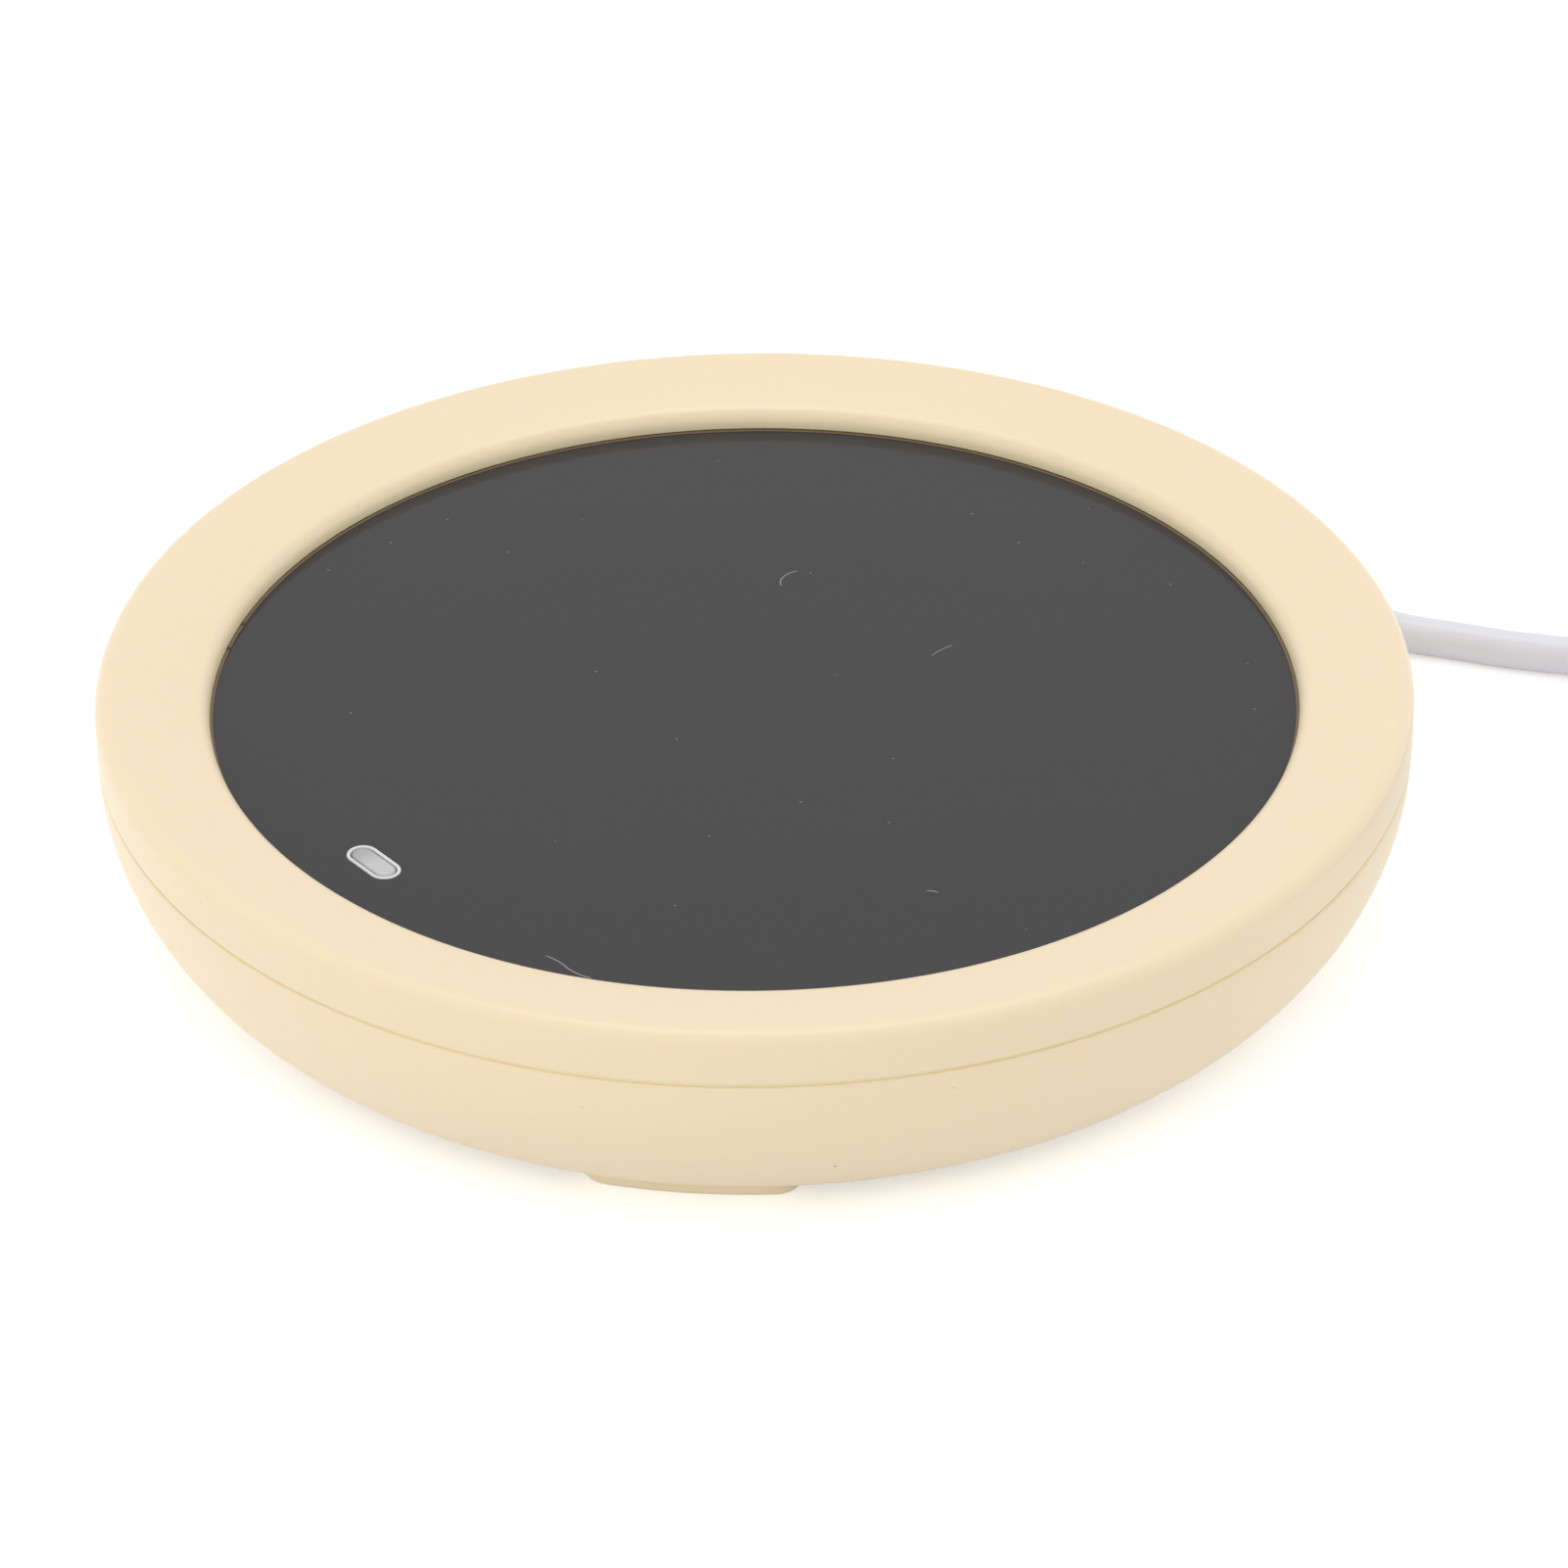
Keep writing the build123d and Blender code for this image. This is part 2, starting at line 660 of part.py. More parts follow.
with BuildPart() as heater_carrier:
    with BuildSketch(Plane.XZ):
        with BuildLine():
            Polyline(
                (0, dish_bottom),
                (dish_outer, dish_bottom),
                (dish_outer, flange_bottom),
                (fence_outer, flange_bottom),
                (fence_outer, glass_bottom),
                (dish_inner, glass_bottom),
                (dish_inner, insulation_bottom),
                (0, insulation_bottom),
                close=True,
            )
        make_face()
    revolve(axis=Axis.Z)
    with BuildSketch(Plane.XY.offset(flange_bottom)):
        with Locations(*carrier_screw_places):
            Circle(bezel_boss_radius + screw_clearance)
    extrude(amount=carrier_plate)
    with BuildSketch(Plane.XY.offset(case_joint_height)):
        with Locations(*case_screw_places):
            Circle(carrier_boss_radius)
    extrude(amount=flange_bottom + boss_root - case_joint_height)
    # Screw holes, and openings for the light shroud and the leads
    with Locations(*carrier_screw_places):
        Cylinder(screw_radius + screw_clearance, glass_top, align=centred_low, mode=Mode.SUBTRACT)
    with Locations(*case_screw_places):
        Cylinder(
            case_screw_radius + pilot_clearance,
            case_joint_height + case_screw_bite,
            align=centred_low,
            mode=Mode.SUBTRACT,
        )
    with Locations((0, key_y, flange_bottom)):
        Box(
            shroud_inner_x + 2 * (shroud_wall + shroud_window_gap),
            shroud_inner_y + 2 * (shroud_wall + shroud_window_gap),
            carrier_plate,
            align=centred_low,
            mode=Mode.SUBTRACT,
        )
    with Locations((lead_slot_x, lead_slot_y, dish_bottom)):
        Box(*lead_slot_size, dish_floor, align=centred_low, mode=Mode.SUBTRACT)
finish(heater_carrier, "heater_carrier")

# ---------------------------------------------------------------------------------------------
# Screws
# ---------------------------------------------------------------------------------------------


def screws(places, seat, bite, radius, head_radius, head_height, head_side):
    """A group of upright screws; head_side is 1 where the head lies above its seat, -1 below."""
    with BuildPart() as group:
        for x, y, *_ in places:
            with BuildSketch(Plane.XY.offset(seat)):
                with Locations((x, y)):
                    Circle(head_radius)
            extrude(amount=head_side * head_height)
            with BuildSketch(Plane.XY.offset(seat)):
                with Locations((x, y)):
                    Circle(radius)
            extrude(amount=-head_side * bite)
            # Cross recess in the head
            with BuildSketch(Plane.XY.offset(seat + head_side * head_height)):
                with Locations((x, y)):
                    Rectangle(recess_length * head_radius, recess_width * head_radius)
                    Rectangle(recess_width * head_radius, recess_length * head_radius)
            extrude(amount=-head_side * recess_depth * head_height, mode=Mode.SUBTRACT)
    return group


small_screw = (screw_radius, screw_head_radius, screw_head_height)
case_screw = (case_screw_radius, case_screw_head_radius, case_screw_head_height)
clamp_top = clamp_seat + clamp_thickness

board_screws = screws(board_posts, board_top, board_top - floor_top - screw_clearance, *small_screw, 1)
clamp_screws = screws(clamp_posts, clamp_top, clamp_top - floor_top - screw_clearance, *small_screw, 1)
carrier_bite = carrier_plate + carrier_screw_bite - screw_clearance
carrier_screws = screws(carrier_screw_places, flange_bottom, carrier_bite, *small_screw, -1)
case_bite = case_joint_height - case_head_top + case_screw_bite - screw_clearance
case_screws = screws(case_screw_places, case_head_top, case_bite, *case_screw, -1)
finish(board_screws, "board_screws")
finish(clamp_screws, "clamp_screws")
finish(carrier_screws, "carrier_screws")
finish(case_screws, "case_screws")

# ---------------------------------------------------------------------------------------------
# Control board and what is soldered to it
# ---------------------------------------------------------------------------------------------

with BuildPart() as control_board:
    with BuildSketch(Plane.XY.offset(board_height)):
        with Locations((0, board_centre_y)):
            RectangleRounded(board_length, board_depth, post_radius)
        with Locations(*board_posts):
            Circle(screw_radius + screw_clearance, mode=Mode.SUBTRACT)
    extrude(amount=board_thickness)
finish(control_board, "control_board")


def on_board(size, places):
    """A group of box-shaped components standing on the board."""
    with BuildPart() as group:
        for x, y in places:
            with Locations((x, y, board_top)):
                Box(*size, align=centred_low)
    return group


chip_row = key_y + chip_row_offset
resistor_row = board_rear_y - resistor_inset
capacitor_row = board_rear_y - capacitor_inset
resistor_places = [
    (resistor_row_x + step * resistor_pitch, resistor_row) for step in (-1.5, -0.5, 0.5, 1.5)
]
capacitor_places = [(step * capacitor_pitch, capacitor_row) for step in (-0.5, 0.5)]

shroud_side = shroud_inner_x / 2 + shroud_wall
chip_x = -shroud_side - chip_gap - chip_size[0] / 2
transistor_x = shroud_side + transistor_gap + transistor_size[0] / 2

controller_chip = on_board(chip_size, [(chip_x, chip_row)])
power_transistor = on_board(transistor_size, [(transistor_x, chip_row)])
led_indicators = on_board(led_size, [(-led_reach, key_y), (led_reach, key_y)])
board_resistors = on_board(resistor_size, resistor_places)
board_capacitors = on_board(capacitor_size, capacitor_places)
heater_header = on_board(header_size, [(heater_header_x, header_y)])
sensor_header = on_board(header_size, [(thermistor_x, header_y)])
finish(controller_chip, "controller_chip")
finish(power_transistor, "power_transistor")
finish(led_indicators, "led_indicators")
finish(board_resistors, "board_resistors")
finish(board_capacitors, "board_capacitors")
finish(heater_header, "heater_header")
finish(sensor_header, "sensor_header")

# ---------------------------------------------------------------------------------------------
# Wiring inside the case
# ---------------------------------------------------------------------------------------------


def wires(routes, radius):
    """A group of round wires, each along straight runs joined by small bends."""
    with BuildPart() as group:
        for route in routes:
            with BuildLine():
                path = FilletPolyline(*route, radius=wire_bend)
            with BuildSketch(Plane(origin=path @ 0, z_dir=path % 0)):
                Circle(radius)
            sweep(path=path.wires()[0])
    return group


header_face = header_y + header_size[1] / 2
header_pin_height = board_top + header_size[2] / 2
slot_rear_y = lead_slot_y + lead_slot_size[1] / 4
slot_front_y = lead_slot_y - lead_slot_size[1] / 4
lead_height = terminal_bottom - lead_radius
near_pin_x = heater_header_x - lead_pitch / 2
far_pin_x = near_pin_x + lead_pitch

heater_leads = wires(
    [
        [
            (first_terminal[0], first_terminal[1], lead_height),
            (first_terminal[0], slot_rear_y, lead_height),
            (first_terminal[0], slot_rear_y, header_pin_height),
            (far_pin_x, slot_rear_y, header_pin_height),
            (far_pin_x, header_face, header_pin_height),
        ],
        [
            (fuse_x, fuse_front_y, fuse_height),
            (fuse_x, slot_front_y, fuse_height),
            (fuse_x, slot_front_y, header_pin_height),
            (near_pin_x, slot_front_y, header_pin_height),
            (near_pin_x, header_face, header_pin_height),
        ],
    ],
    lead_radius,
)
finish(heater_leads, "heater_leads")

thermistor_rear = thermistor_y - thermistor_size[1] / 2
thermistor_middle = film_bottom - thermistor_size[2] / 2
sensor_leads = wires(
    [
        [
            (x, thermistor_rear, thermistor_middle),
            (x, lead_slot_y, thermistor_middle),
            (x, lead_slot_y, header_pin_height),
            (x, header_face, header_pin_height),
        ]
        for x in sensor_places
    ],
    lead_radius,
)
finish(sensor_leads, "sensor_leads")

core_floor = floor_top + core_radius + wire_lift
core_top = board_top + core_radius + wire_lift
core_pads_y = board_rear_y - core_pads_inset
core_drops = [jacket_end_y - run for run in core_drop_runs]
core_rises = [board_rear_y + run for run in core_rise_runs]
supply_cores = wires(
    [
        [
            (start_x, jacket_end_y, exit_height),
            (start_x, core_drops[0], exit_height),
            ((start_x + pad_x) / 2, core_drops[1], core_floor),
            (pad_x, core_drops[2], core_floor),
            (pad_x, core_rises[0], core_floor),
            (pad_x, core_rises[1], core_top + core_crest),
            (pad_x, core_pads_y, core_top),
        ]
        for start_x, pad_x in zip((-core_start_x, core_start_x), core_pads_x)
    ],
    core_radius,
)
finish(supply_cores, "supply_cores")

# ---------------------------------------------------------------------------------------------
# Lead entry: moulded gland, the jacket inside the case and its clamp
# ---------------------------------------------------------------------------------------------

exit_axis = Axis((0, 0, exit_height), (0, 1, 0))
nose_start_y = side_radius(floor_top)

with BuildPart() as cord_gland:
    with BuildSketch(Plane.YZ):
        with BuildLine():
            Polyline(
                (gland_flange_y, exit_height),
                (gland_flange_y, exit_height + gland_flange_radius),
                (saddle_front, exit_height + gland_flange_radius),
                (saddle_front, exit_height + gland_neck_radius),
                (nose_start_y, exit_height + gland_neck_radius),
                (gland_end_y, exit_height + gland_nose_radius),
                (gland_end_y, exit_height),
                close=True,
            )
        make_face()
    revolve(axis=exit_axis)
finish(cord_gland, "cord_gland")

with BuildPart() as cord_jacket:
    with BuildSketch(Plane.XZ.offset(-jacket_end_y)):
        with Locations((0, exit_height)):
            Circle(cord_radius)
    extrude(amount=-(gland_flange_y - jacket_end_y))
finish(cord_jacket, "cord_jacket")

with BuildPart() as cord_clamp:
    with BuildSketch(Plane.XY.offset(clamp_seat)):
        with Locations((0, clamp_y)):
            SlotOverall(clamp_length, clamp_width)
        with Locations(*clamp_posts):
            Circle(screw_radius + screw_clearance, mode=Mode.SUBTRACT)
    extrude(amount=clamp_thickness)
finish(cord_clamp, "cord_clamp")

# ---------------------------------------------------------------------------------------------
# Feet: arc-shaped pads pressed into the shell's pockets
# ---------------------------------------------------------------------------------------------

foot_names = ("foot_front_right", "foot_rear_right", "foot_rear_left", "foot_front_left")
for angle, name in zip(quarter_angles, foot_names):
    with BuildPart() as foot_pad:
        with BuildSketch():
            SlotArc(foot_arc(angle), foot_width)
        extrude(amount=foot_pocket_top)
        fillet(foot_pad.edges().group_by(Axis.Z)[0], foot_edge_round)
    finish(foot_pad, name)

# ---------------------------------------------------------------------------------------------
# Lead outside the case: the loose stretch, the coil that the rest is put away in, its tie, a tail
# ---------------------------------------------------------------------------------------------

lower_turn_height = coil_lift + cord_radius
upper_turn_height = lower_turn_height + (coil_turns_high - 1) * 2 * cord_radius
turn_in = beyond((*coil_centre, lower_turn_height), coil_in_heading + 90, coil_outer_turn)
turn_out = beyond((*coil_centre, upper_turn_height), coil_out_heading + 90, coil_outer_turn)
stub_in = beyond(turn_in, coil_in_heading, -coil_stub)
stub_out = beyond(turn_out, coil_out_heading, coil_stub)
loose_route = [(0, gland_end_y, exit_height), *cord_route, stub_in]
tail_route = [stub_out]
plug_drop = plug_height / 2 - upper_turn_height
for length, heading, share in tail_runs:
    tail_route.append(beyond(tail_route[-1], heading, length, share * plug_drop))


def tube(route):
    """The lead's jacket along a route, with each bend as large as its runs allow."""
    with BuildPart() as jacket:
        with BuildLine():
            path = FilletPolyline(*route, radius=bend_radii(route))
        with BuildSketch(Plane(origin=path @ 0, z_dir=path % 0)):
            Circle(cord_radius)
        sweep(path=path.wires()[0])
    expected = path.length * pi * cord_radius**2
    print("bends", [round(radius, 1) for radius in bend_radii(route)], "length", round(path.length, 1))
    print("volume", round(jacket.part.volume, 1), "section times length", round(expected, 1))
    return jacket


cord_tube = tube(loose_route)
cord_tail = tube(tail_route)
finish(cord_tube, "cord_tube")
finish(cord_tail, "cord_tail")

coil_outer_radius = coil_outer_turn + cord_radius + coil_margin
coil_inner_radius = coil_outer_turn + cord_radius - coil_turns_wide * 2 * cord_radius - coil_margin
coil_bottom = coil_lift - coil_margin
coil_height = coil_turns_high * 2 * cord_radius + 2 * coil_margin

with BuildPart() as cord_coil:
    with BuildSketch(Plane.XY.offset(coil_bottom)):
        with Locations(coil_centre):
            Circle(coil_outer_radius)
            Circle(coil_inner_radius, mode=Mode.SUBTRACT)
    extrude(amount=coil_height)
    fillet(cord_coil.edges().filter_by(GeomType.CIRCLE), coil_edge_round)
    for start, end in ((turn_in, stub_in), (turn_out, stub_out)):
        with BuildSketch(Plane(origin=end, z_dir=Vector(*start) - Vector(*end))):
            Circle(cord_radius)
        extrude(amount=coil_stub)
finish(cord_coil, "cord_coil")

tie_out = Vector(*polar(1, tie_bearing))
tie_inner = sqrt(coil_inner_radius**2 - (tie_width / 2) ** 2) - tie_slack
tie_outer = coil_outer_radius + tie_slack
tie_centre = Vector(*coil_centre, coil_bottom + coil_height / 2) + tie_out * ((tie_inner + tie_outer) / 2)

with BuildPart() as coil_tie:
    with BuildSketch(Plane(origin=tie_centre, x_dir=tie_out, z_dir=Vector(0, 0, 1).cross(tie_out))):
        Rectangle(
            tie_outer - tie_inner + 2 * tie_thickness,
            coil_height + 2 * (tie_slack + tie_thickness),
        )
        Rectangle(tie_outer - tie_inner, coil_height + 2 * tie_slack, mode=Mode.SUBTRACT)
    extrude(amount=tie_width / 2, both=True)
finish(coil_tie, "coil_tie")

# ---------------------------------------------------------------------------------------------
# USB plug
# ---------------------------------------------------------------------------------------------

plug_heading = tail_runs[-1][1]
plug_axis = Vector(*polar(1, plug_heading))
plug_across = Vector(*polar(1, plug_heading + 90))


def plug_plane(distance):
    """A plane across the plug at a distance from the end of the tail; its X is level, its Y is up."""
    return Plane(origin=Vector(*tail_route[-1]) + plug_axis * distance, x_dir=plug_across, z_dir=plug_axis)


body_end = relief_length + plug_length

with BuildPart() as plug_body:
    with BuildSketch(plug_plane(0)):
        Circle(cord_radius + gland_clearance)
    with BuildSketch(plug_plane(relief_length)):
        Circle(relief_radius)
    loft()
    with BuildSketch(plug_plane(relief_length)):
        RectangleRounded(plug_width, plug_height, plug_edge_round)
    extrude(amount=plug_length)
finish(plug_body, "plug_body")

with BuildPart() as plug_shell:
    with BuildSketch(plug_plane(body_end)):
        RectangleRounded(usb_width, usb_height, 2 * usb_wall)
        RectangleRounded(
            usb_width - 2 * usb_wall,
            usb_height - 2 * usb_wall,
            usb_wall,
            mode=Mode.SUBTRACT,
        )
    extrude(amount=usb_length)
finish(plug_shell, "plug_shell")

tongue_floor = -usb_height / 2 + usb_wall
with BuildPart() as plug_tongue:
    with BuildSketch(plug_plane(body_end)):
        with Locations((0, tongue_floor)):
            Rectangle(tongue_plate_width, tongue_plate_height, align=(Align.CENTER, Align.MIN))
    extrude(amount=tongue_plate_length)
finish(plug_tongue, "plug_tongue")

with BuildPart() as plug_contacts:
    with BuildSketch(plug_plane(body_end)):
        for step in (-1.5, -0.5, 0.5, 1.5):
            with Locations((step * contact_pitch, tongue_floor + tongue_plate_height)):
                Rectangle(contact_width, contact_thickness, align=(Align.CENTER, Align.MIN))
    extrude(amount=contact_length)
finish(plug_contacts, "plug_contacts")
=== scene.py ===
# %% [markdown]
# # An electric mug warmer
# A mug warmer is a low round case with a glass top. A thin heater is pressed up under the glass,
# one small key switches it, and a thin lead brings the power. The construction is already there:
# it comes in as a fixed frame, with every piece where it belongs. These cells dress it. Outer
# pieces are built again with finer curves and small edge rounds, because a glossy round shows
# every facet; pieces that are right as they are only get a finish.

# %% Load the frame
import json
from math import cos, pi, radians, sin, sqrt, tan

import bmesh
import bpy
from mathutils import Matrix, Vector


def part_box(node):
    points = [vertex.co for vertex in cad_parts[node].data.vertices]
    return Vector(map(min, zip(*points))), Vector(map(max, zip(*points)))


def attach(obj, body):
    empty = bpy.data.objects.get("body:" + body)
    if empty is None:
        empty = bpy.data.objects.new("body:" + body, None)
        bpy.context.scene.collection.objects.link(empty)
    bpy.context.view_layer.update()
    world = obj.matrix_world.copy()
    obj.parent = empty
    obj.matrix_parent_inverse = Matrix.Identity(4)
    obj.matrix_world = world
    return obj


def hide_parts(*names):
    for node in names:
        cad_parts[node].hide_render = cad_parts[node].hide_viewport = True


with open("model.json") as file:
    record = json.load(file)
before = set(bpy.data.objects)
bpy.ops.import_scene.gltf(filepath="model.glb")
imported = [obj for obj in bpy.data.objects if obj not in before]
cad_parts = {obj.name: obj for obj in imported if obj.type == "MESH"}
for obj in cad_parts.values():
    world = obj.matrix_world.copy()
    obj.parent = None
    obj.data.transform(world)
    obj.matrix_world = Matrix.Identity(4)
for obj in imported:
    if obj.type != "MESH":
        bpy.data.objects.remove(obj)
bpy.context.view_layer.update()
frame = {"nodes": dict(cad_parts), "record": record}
MM = 0.001


def new_object(name, data):
    """An object in the scene, at the origin, with its data."""
    made = bpy.data.objects.new(name, data)
    bpy.context.scene.collection.objects.link(made)
    return made


def in_mm(point):
    return [round(value / MM, 2) for value in point]


# %% [markdown]
# ## Camera
# The object is seen from the front right and well above, through a long lens, so that near and far
# edges of the round keep almost the same curve. A long lens far away does this; a short lens close
# up would swell the near edge. The camera is set by the point it looks at, its distance and its
# two angles, which are easy to read and to change.

# %% Set the camera
aim = Vector((4.778, -0.161, 13.908)) * MM
camera_distance = 0.8
camera_azimuth, camera_elevation, camera_roll = radians(51.8), radians(32.323), radians(-0.523)

camera = new_object("camera", bpy.data.cameras.new("camera"))
bpy.context.scene.camera = camera
camera.data.lens = 186.06
camera.data.sensor_width = 36
back = Vector((
    sin(camera_azimuth) * cos(camera_elevation),
    -cos(camera_azimuth) * cos(camera_elevation),
    sin(camera_elevation),
))
level = back.to_track_quat("Z", "Y").to_matrix().to_4x4()
place = Matrix.Translation(aim + back * camera_distance)
camera.matrix_world = place @ level @ Matrix.Rotation(camera_roll, 4, "Z")
print("camera at", [round(value, 4) for value in camera.matrix_world.translation])

# %% [markdown]
# ## The lead
# The lead is a soft round PVC cord. It leaves the case at the back, dips to the table and runs off
# to the right. What is left over is wound into a flat coil of two layers, as it comes out of its
# box. One curve holds it all: a NURBS spline, whose control points pull the line without kinks.
# The loose stretch is listed point by point, and a loop winds the turns.

# %% Points of the loose stretch
cord_diameter = 4.0 * MM
cord_radius = cord_diameter / 2
cord_exit = Vector((0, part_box("cord_gland")[1].y, 7.6 * MM))
loose_points = [
    cord_exit,
    Vector((0, 67.0, 7.6)) * MM,
    Vector((2.05, 73.9, 5.6)) * MM,
    Vector((6.6, 78.75, 2.2)) * MM,
    Vector((12.55, 83.3, 2.0)) * MM,
    Vector((18.85, 87.2, 2.05)) * MM,
]
print("the lead leaves the case at", in_mm(cord_exit))


# %% Wind the coil
def beyond(point, heading, length, rise=0.0):
    """The point at a length from another along a heading, given in degrees from +X."""
    angle = radians(heading)
    return point + Vector((length * cos(angle), length * sin(angle), rise))


coil_centre = Vector((68.9, 93.0, 0)) * MM
outer_turn = 28.0 * MM
turn_pitch = 4.0 * MM
lower_layer, upper_layer = 2.8 * MM, 6.8 * MM
heading_in, heading_out = 43.0, -84.0
full_turns_wound = 7
first_bearing, last_bearing = heading_in + 90, heading_out + 90
turned = full_turns_wound * 360 + first_bearing - last_bearing
shift = 90                                   # degrees in which the cord moves over by one pitch
inward_shifts = (270, 630, 990)              # degrees wound where it starts to move in
outward_shifts = (1520, 1880, 2240)          # and out again, on the upper layer
climb_start = 1250


def ramp(wound, start):
    """0 before start, 1 a shift later, and smooth in between."""
    share = min(1.0, max(0.0, (wound - start) / shift))
    return share * share * (3 - 2 * share)


def turn_radius(wound):
    moved_in = sum(ramp(wound, start) for start in inward_shifts)
    moved_out = sum(ramp(wound, start) for start in outward_shifts)
    return outer_turn - turn_pitch * (moved_in - moved_out)


point_spacing = 22.5                         # degrees between two points of a turn, about
legs = round(turned / point_spacing)
step = turned / legs
coil_points = []
for index in range(legs + 2):
    wound = (index - 0.5) * step
    point = beyond(coil_centre, first_bearing - wound, turn_radius(wound) / cos(radians(step / 2)))
    point.z = lower_layer + (upper_layer - lower_layer) * ramp(wound, climb_start)
    coil_points.append(point)
print("coil:", len(coil_points), "points,", round(turned / 360, 2), "turns")

# %% Lead the cord in and out of the coil
coil_stub = 16.0 * MM
turn_in = beyond(coil_centre, first_bearing, outer_turn, lower_layer)
turn_out = beyond(coil_centre, last_bearing, outer_turn, upper_layer)
stub_in = beyond(turn_in, heading_in, -coil_stub)
stub_out = beyond(turn_out, heading_out, coil_stub)
plug_axis_height = 4.0 * MM
plug_heading = -76.0
tail_runs = (
    # length in millimetres, heading in degrees, share of the way down to the plug's axis
    (9.0, heading_out, 0.0),
    (9.0, plug_heading, 1.0),
    (8.0, plug_heading, 0.0),
)
tail_points = [stub_out]
for length, heading, share in tail_runs:
    drop = share * (plug_axis_height - upper_layer)
    tail_points.append(beyond(tail_points[-1], heading, length * MM, drop))
tail_end = tail_points[-1]
print("the lead ends at", in_mm(tail_end))

# %% Make the lead
route = loose_points + [stub_in] + coil_points + tail_points
lead_curve = bpy.data.curves.new("lead", "CURVE")
lead_curve.dimensions = "3D"
spline = lead_curve.splines.new("NURBS")
spline.points.add(len(route) - 1)
for point, place in zip(spline.points, route):
    point.co = (*place, 1)
spline.order_u = 3
spline.use_endpoint_u = True
spline.resolution_u = 8
lead = new_object("lead", lead_curve)


def line_of(curve_object):
    """The points along a curve's own line, read before it gets its thickness."""
    line = bpy.data.meshes.new_from_object(curve_object)
    points = [vertex.co.copy() for vertex in line.vertices]
    bpy.data.meshes.remove(line)
    return points


lead_line = line_of(lead)
lead_curve.bevel_depth = cord_radius
lead_curve.bevel_resolution = 6
lead_curve.use_fill_caps = True

# %% [markdown]
# ## Finishes
# Each finish is a small node tree. The base colour drifts a little, as in any moulding, and a
# fine bump gives the skin its grain. All patterns read Object coordinates: pieces stand at the
# origin, so a pattern stays put when a piece moves, and joins up between pieces.
#
# Trees for finishes and for shapes are built alike. `add_node` makes a node and fills its inputs;
# where a value is another node or its output, the two are linked.


# %% A moulded or rolled surface
def fill(tree, socket, value):
    """Sets a socket, or links it to an output; a node stands for its first output in use."""
    if isinstance(value, bpy.types.Node):
        value = next(output for output in value.outputs if output.enabled)
    if isinstance(value, bpy.types.NodeSocket):
        tree.links.new(value, socket)
    else:
        socket.default_value = value


def add_node(tree, kind, *values, operation=None, **named):
    """A node with its inputs filled in order, or by name with _ for a space."""
    node = tree.nodes.new(kind)
    if operation:
        node.operation = operation
    for socket, value in zip(node.inputs, values):
        fill(tree, socket, value)
    for name, value in named.items():
        fill(tree, node.inputs[name.replace("_", " ")], value)
    return node


def math_node(tree, operation, *values):
    return add_node(tree, "ShaderNodeMath", *values, operation=operation)


def vector_node(tree, operation, *values):
    return add_node(tree, "ShaderNodeVectorMath", *values, operation=operation)


def shader_of(material):
    return material.node_tree.nodes["Principled BSDF"]


def fill_shader(material, **values):
    """Fills inputs of a material's Principled shader, by name with _ for a space."""
    for name, value in values.items():
        fill(material.node_tree, shader_of(material).inputs[name.replace("_", " ")], value)


def new_finish(name, colour, roughness, **values):
    """A Principled material; further inputs are given by name, with _ for a space."""
    material = bpy.data.materials.new(name)
    material.use_nodes = True
    fill_shader(material, Base_Color=(*colour, 1), Roughness=roughness, **values)
    return material


def object_place(tree):
    return add_node(tree, "ShaderNodeTexCoord").outputs["Object"]


def noise(tree, size, detail):
    """A random pattern in patches of a size, in metres."""
    place = object_place(tree)
    return add_node(tree, "ShaderNodeTexNoise", Vector=place, Scale=1 / size, Detail=detail)


def grain(material, size, height):
    """A fine random bump: size is the grain's width and height its depth, in metres."""
    tree = material.node_tree
    bump = add_node(
        tree, "ShaderNodeBump", Strength=1.0, Distance=height, Height=noise(tree, size, 3.0),
    )
    fill_shader(material, Normal=bump)


def shaded(colour, share):
    return tuple(channel * share for channel in colour)


def mix_colours(tree, factor, first, second):
    """A node that mixes two colours by a factor."""
    mix = tree.nodes.new("ShaderNodeMix")
    mix.data_type = "RGBA"
    for name, value in (("Factor", factor), ("A", first), ("B", second)):
        fill(tree, mix.inputs[name], value)
    return mix


def drift(material, colour, share, size):
    """The base colour wanders to a share of itself over patches of a size, in metres."""
    tree = material.node_tree
    other = shaded(colour, share)
    mix = mix_colours(tree, noise(tree, size, 2.0), (*colour, 1), (*other, 1))
    fill_shader(material, Base_Color=mix)


def vary_roughness(material, low, high, size):
    """Roughness wanders between two values over patches of a size, as handling leaves it."""
    tree = material.node_tree
    spread = add_node(
        tree, "ShaderNodeMapRange", Value=noise(tree, size, 4.0), To_Min=low, To_Max=high,
    )
    fill_shader(material, Roughness=spread)


finishes = {}
print("finish helpers ready")

# %% [markdown]
# ### Specks and hairs
# Dust and tiny marks are what tells a used object from a drawing. A Voronoi texture scatters one
# point in each cell; only cells whose random colour is low enough get a speck, so most stay clean.
# A hair is a thin arc: the points whose distance from a centre is close to a radius, on one side.


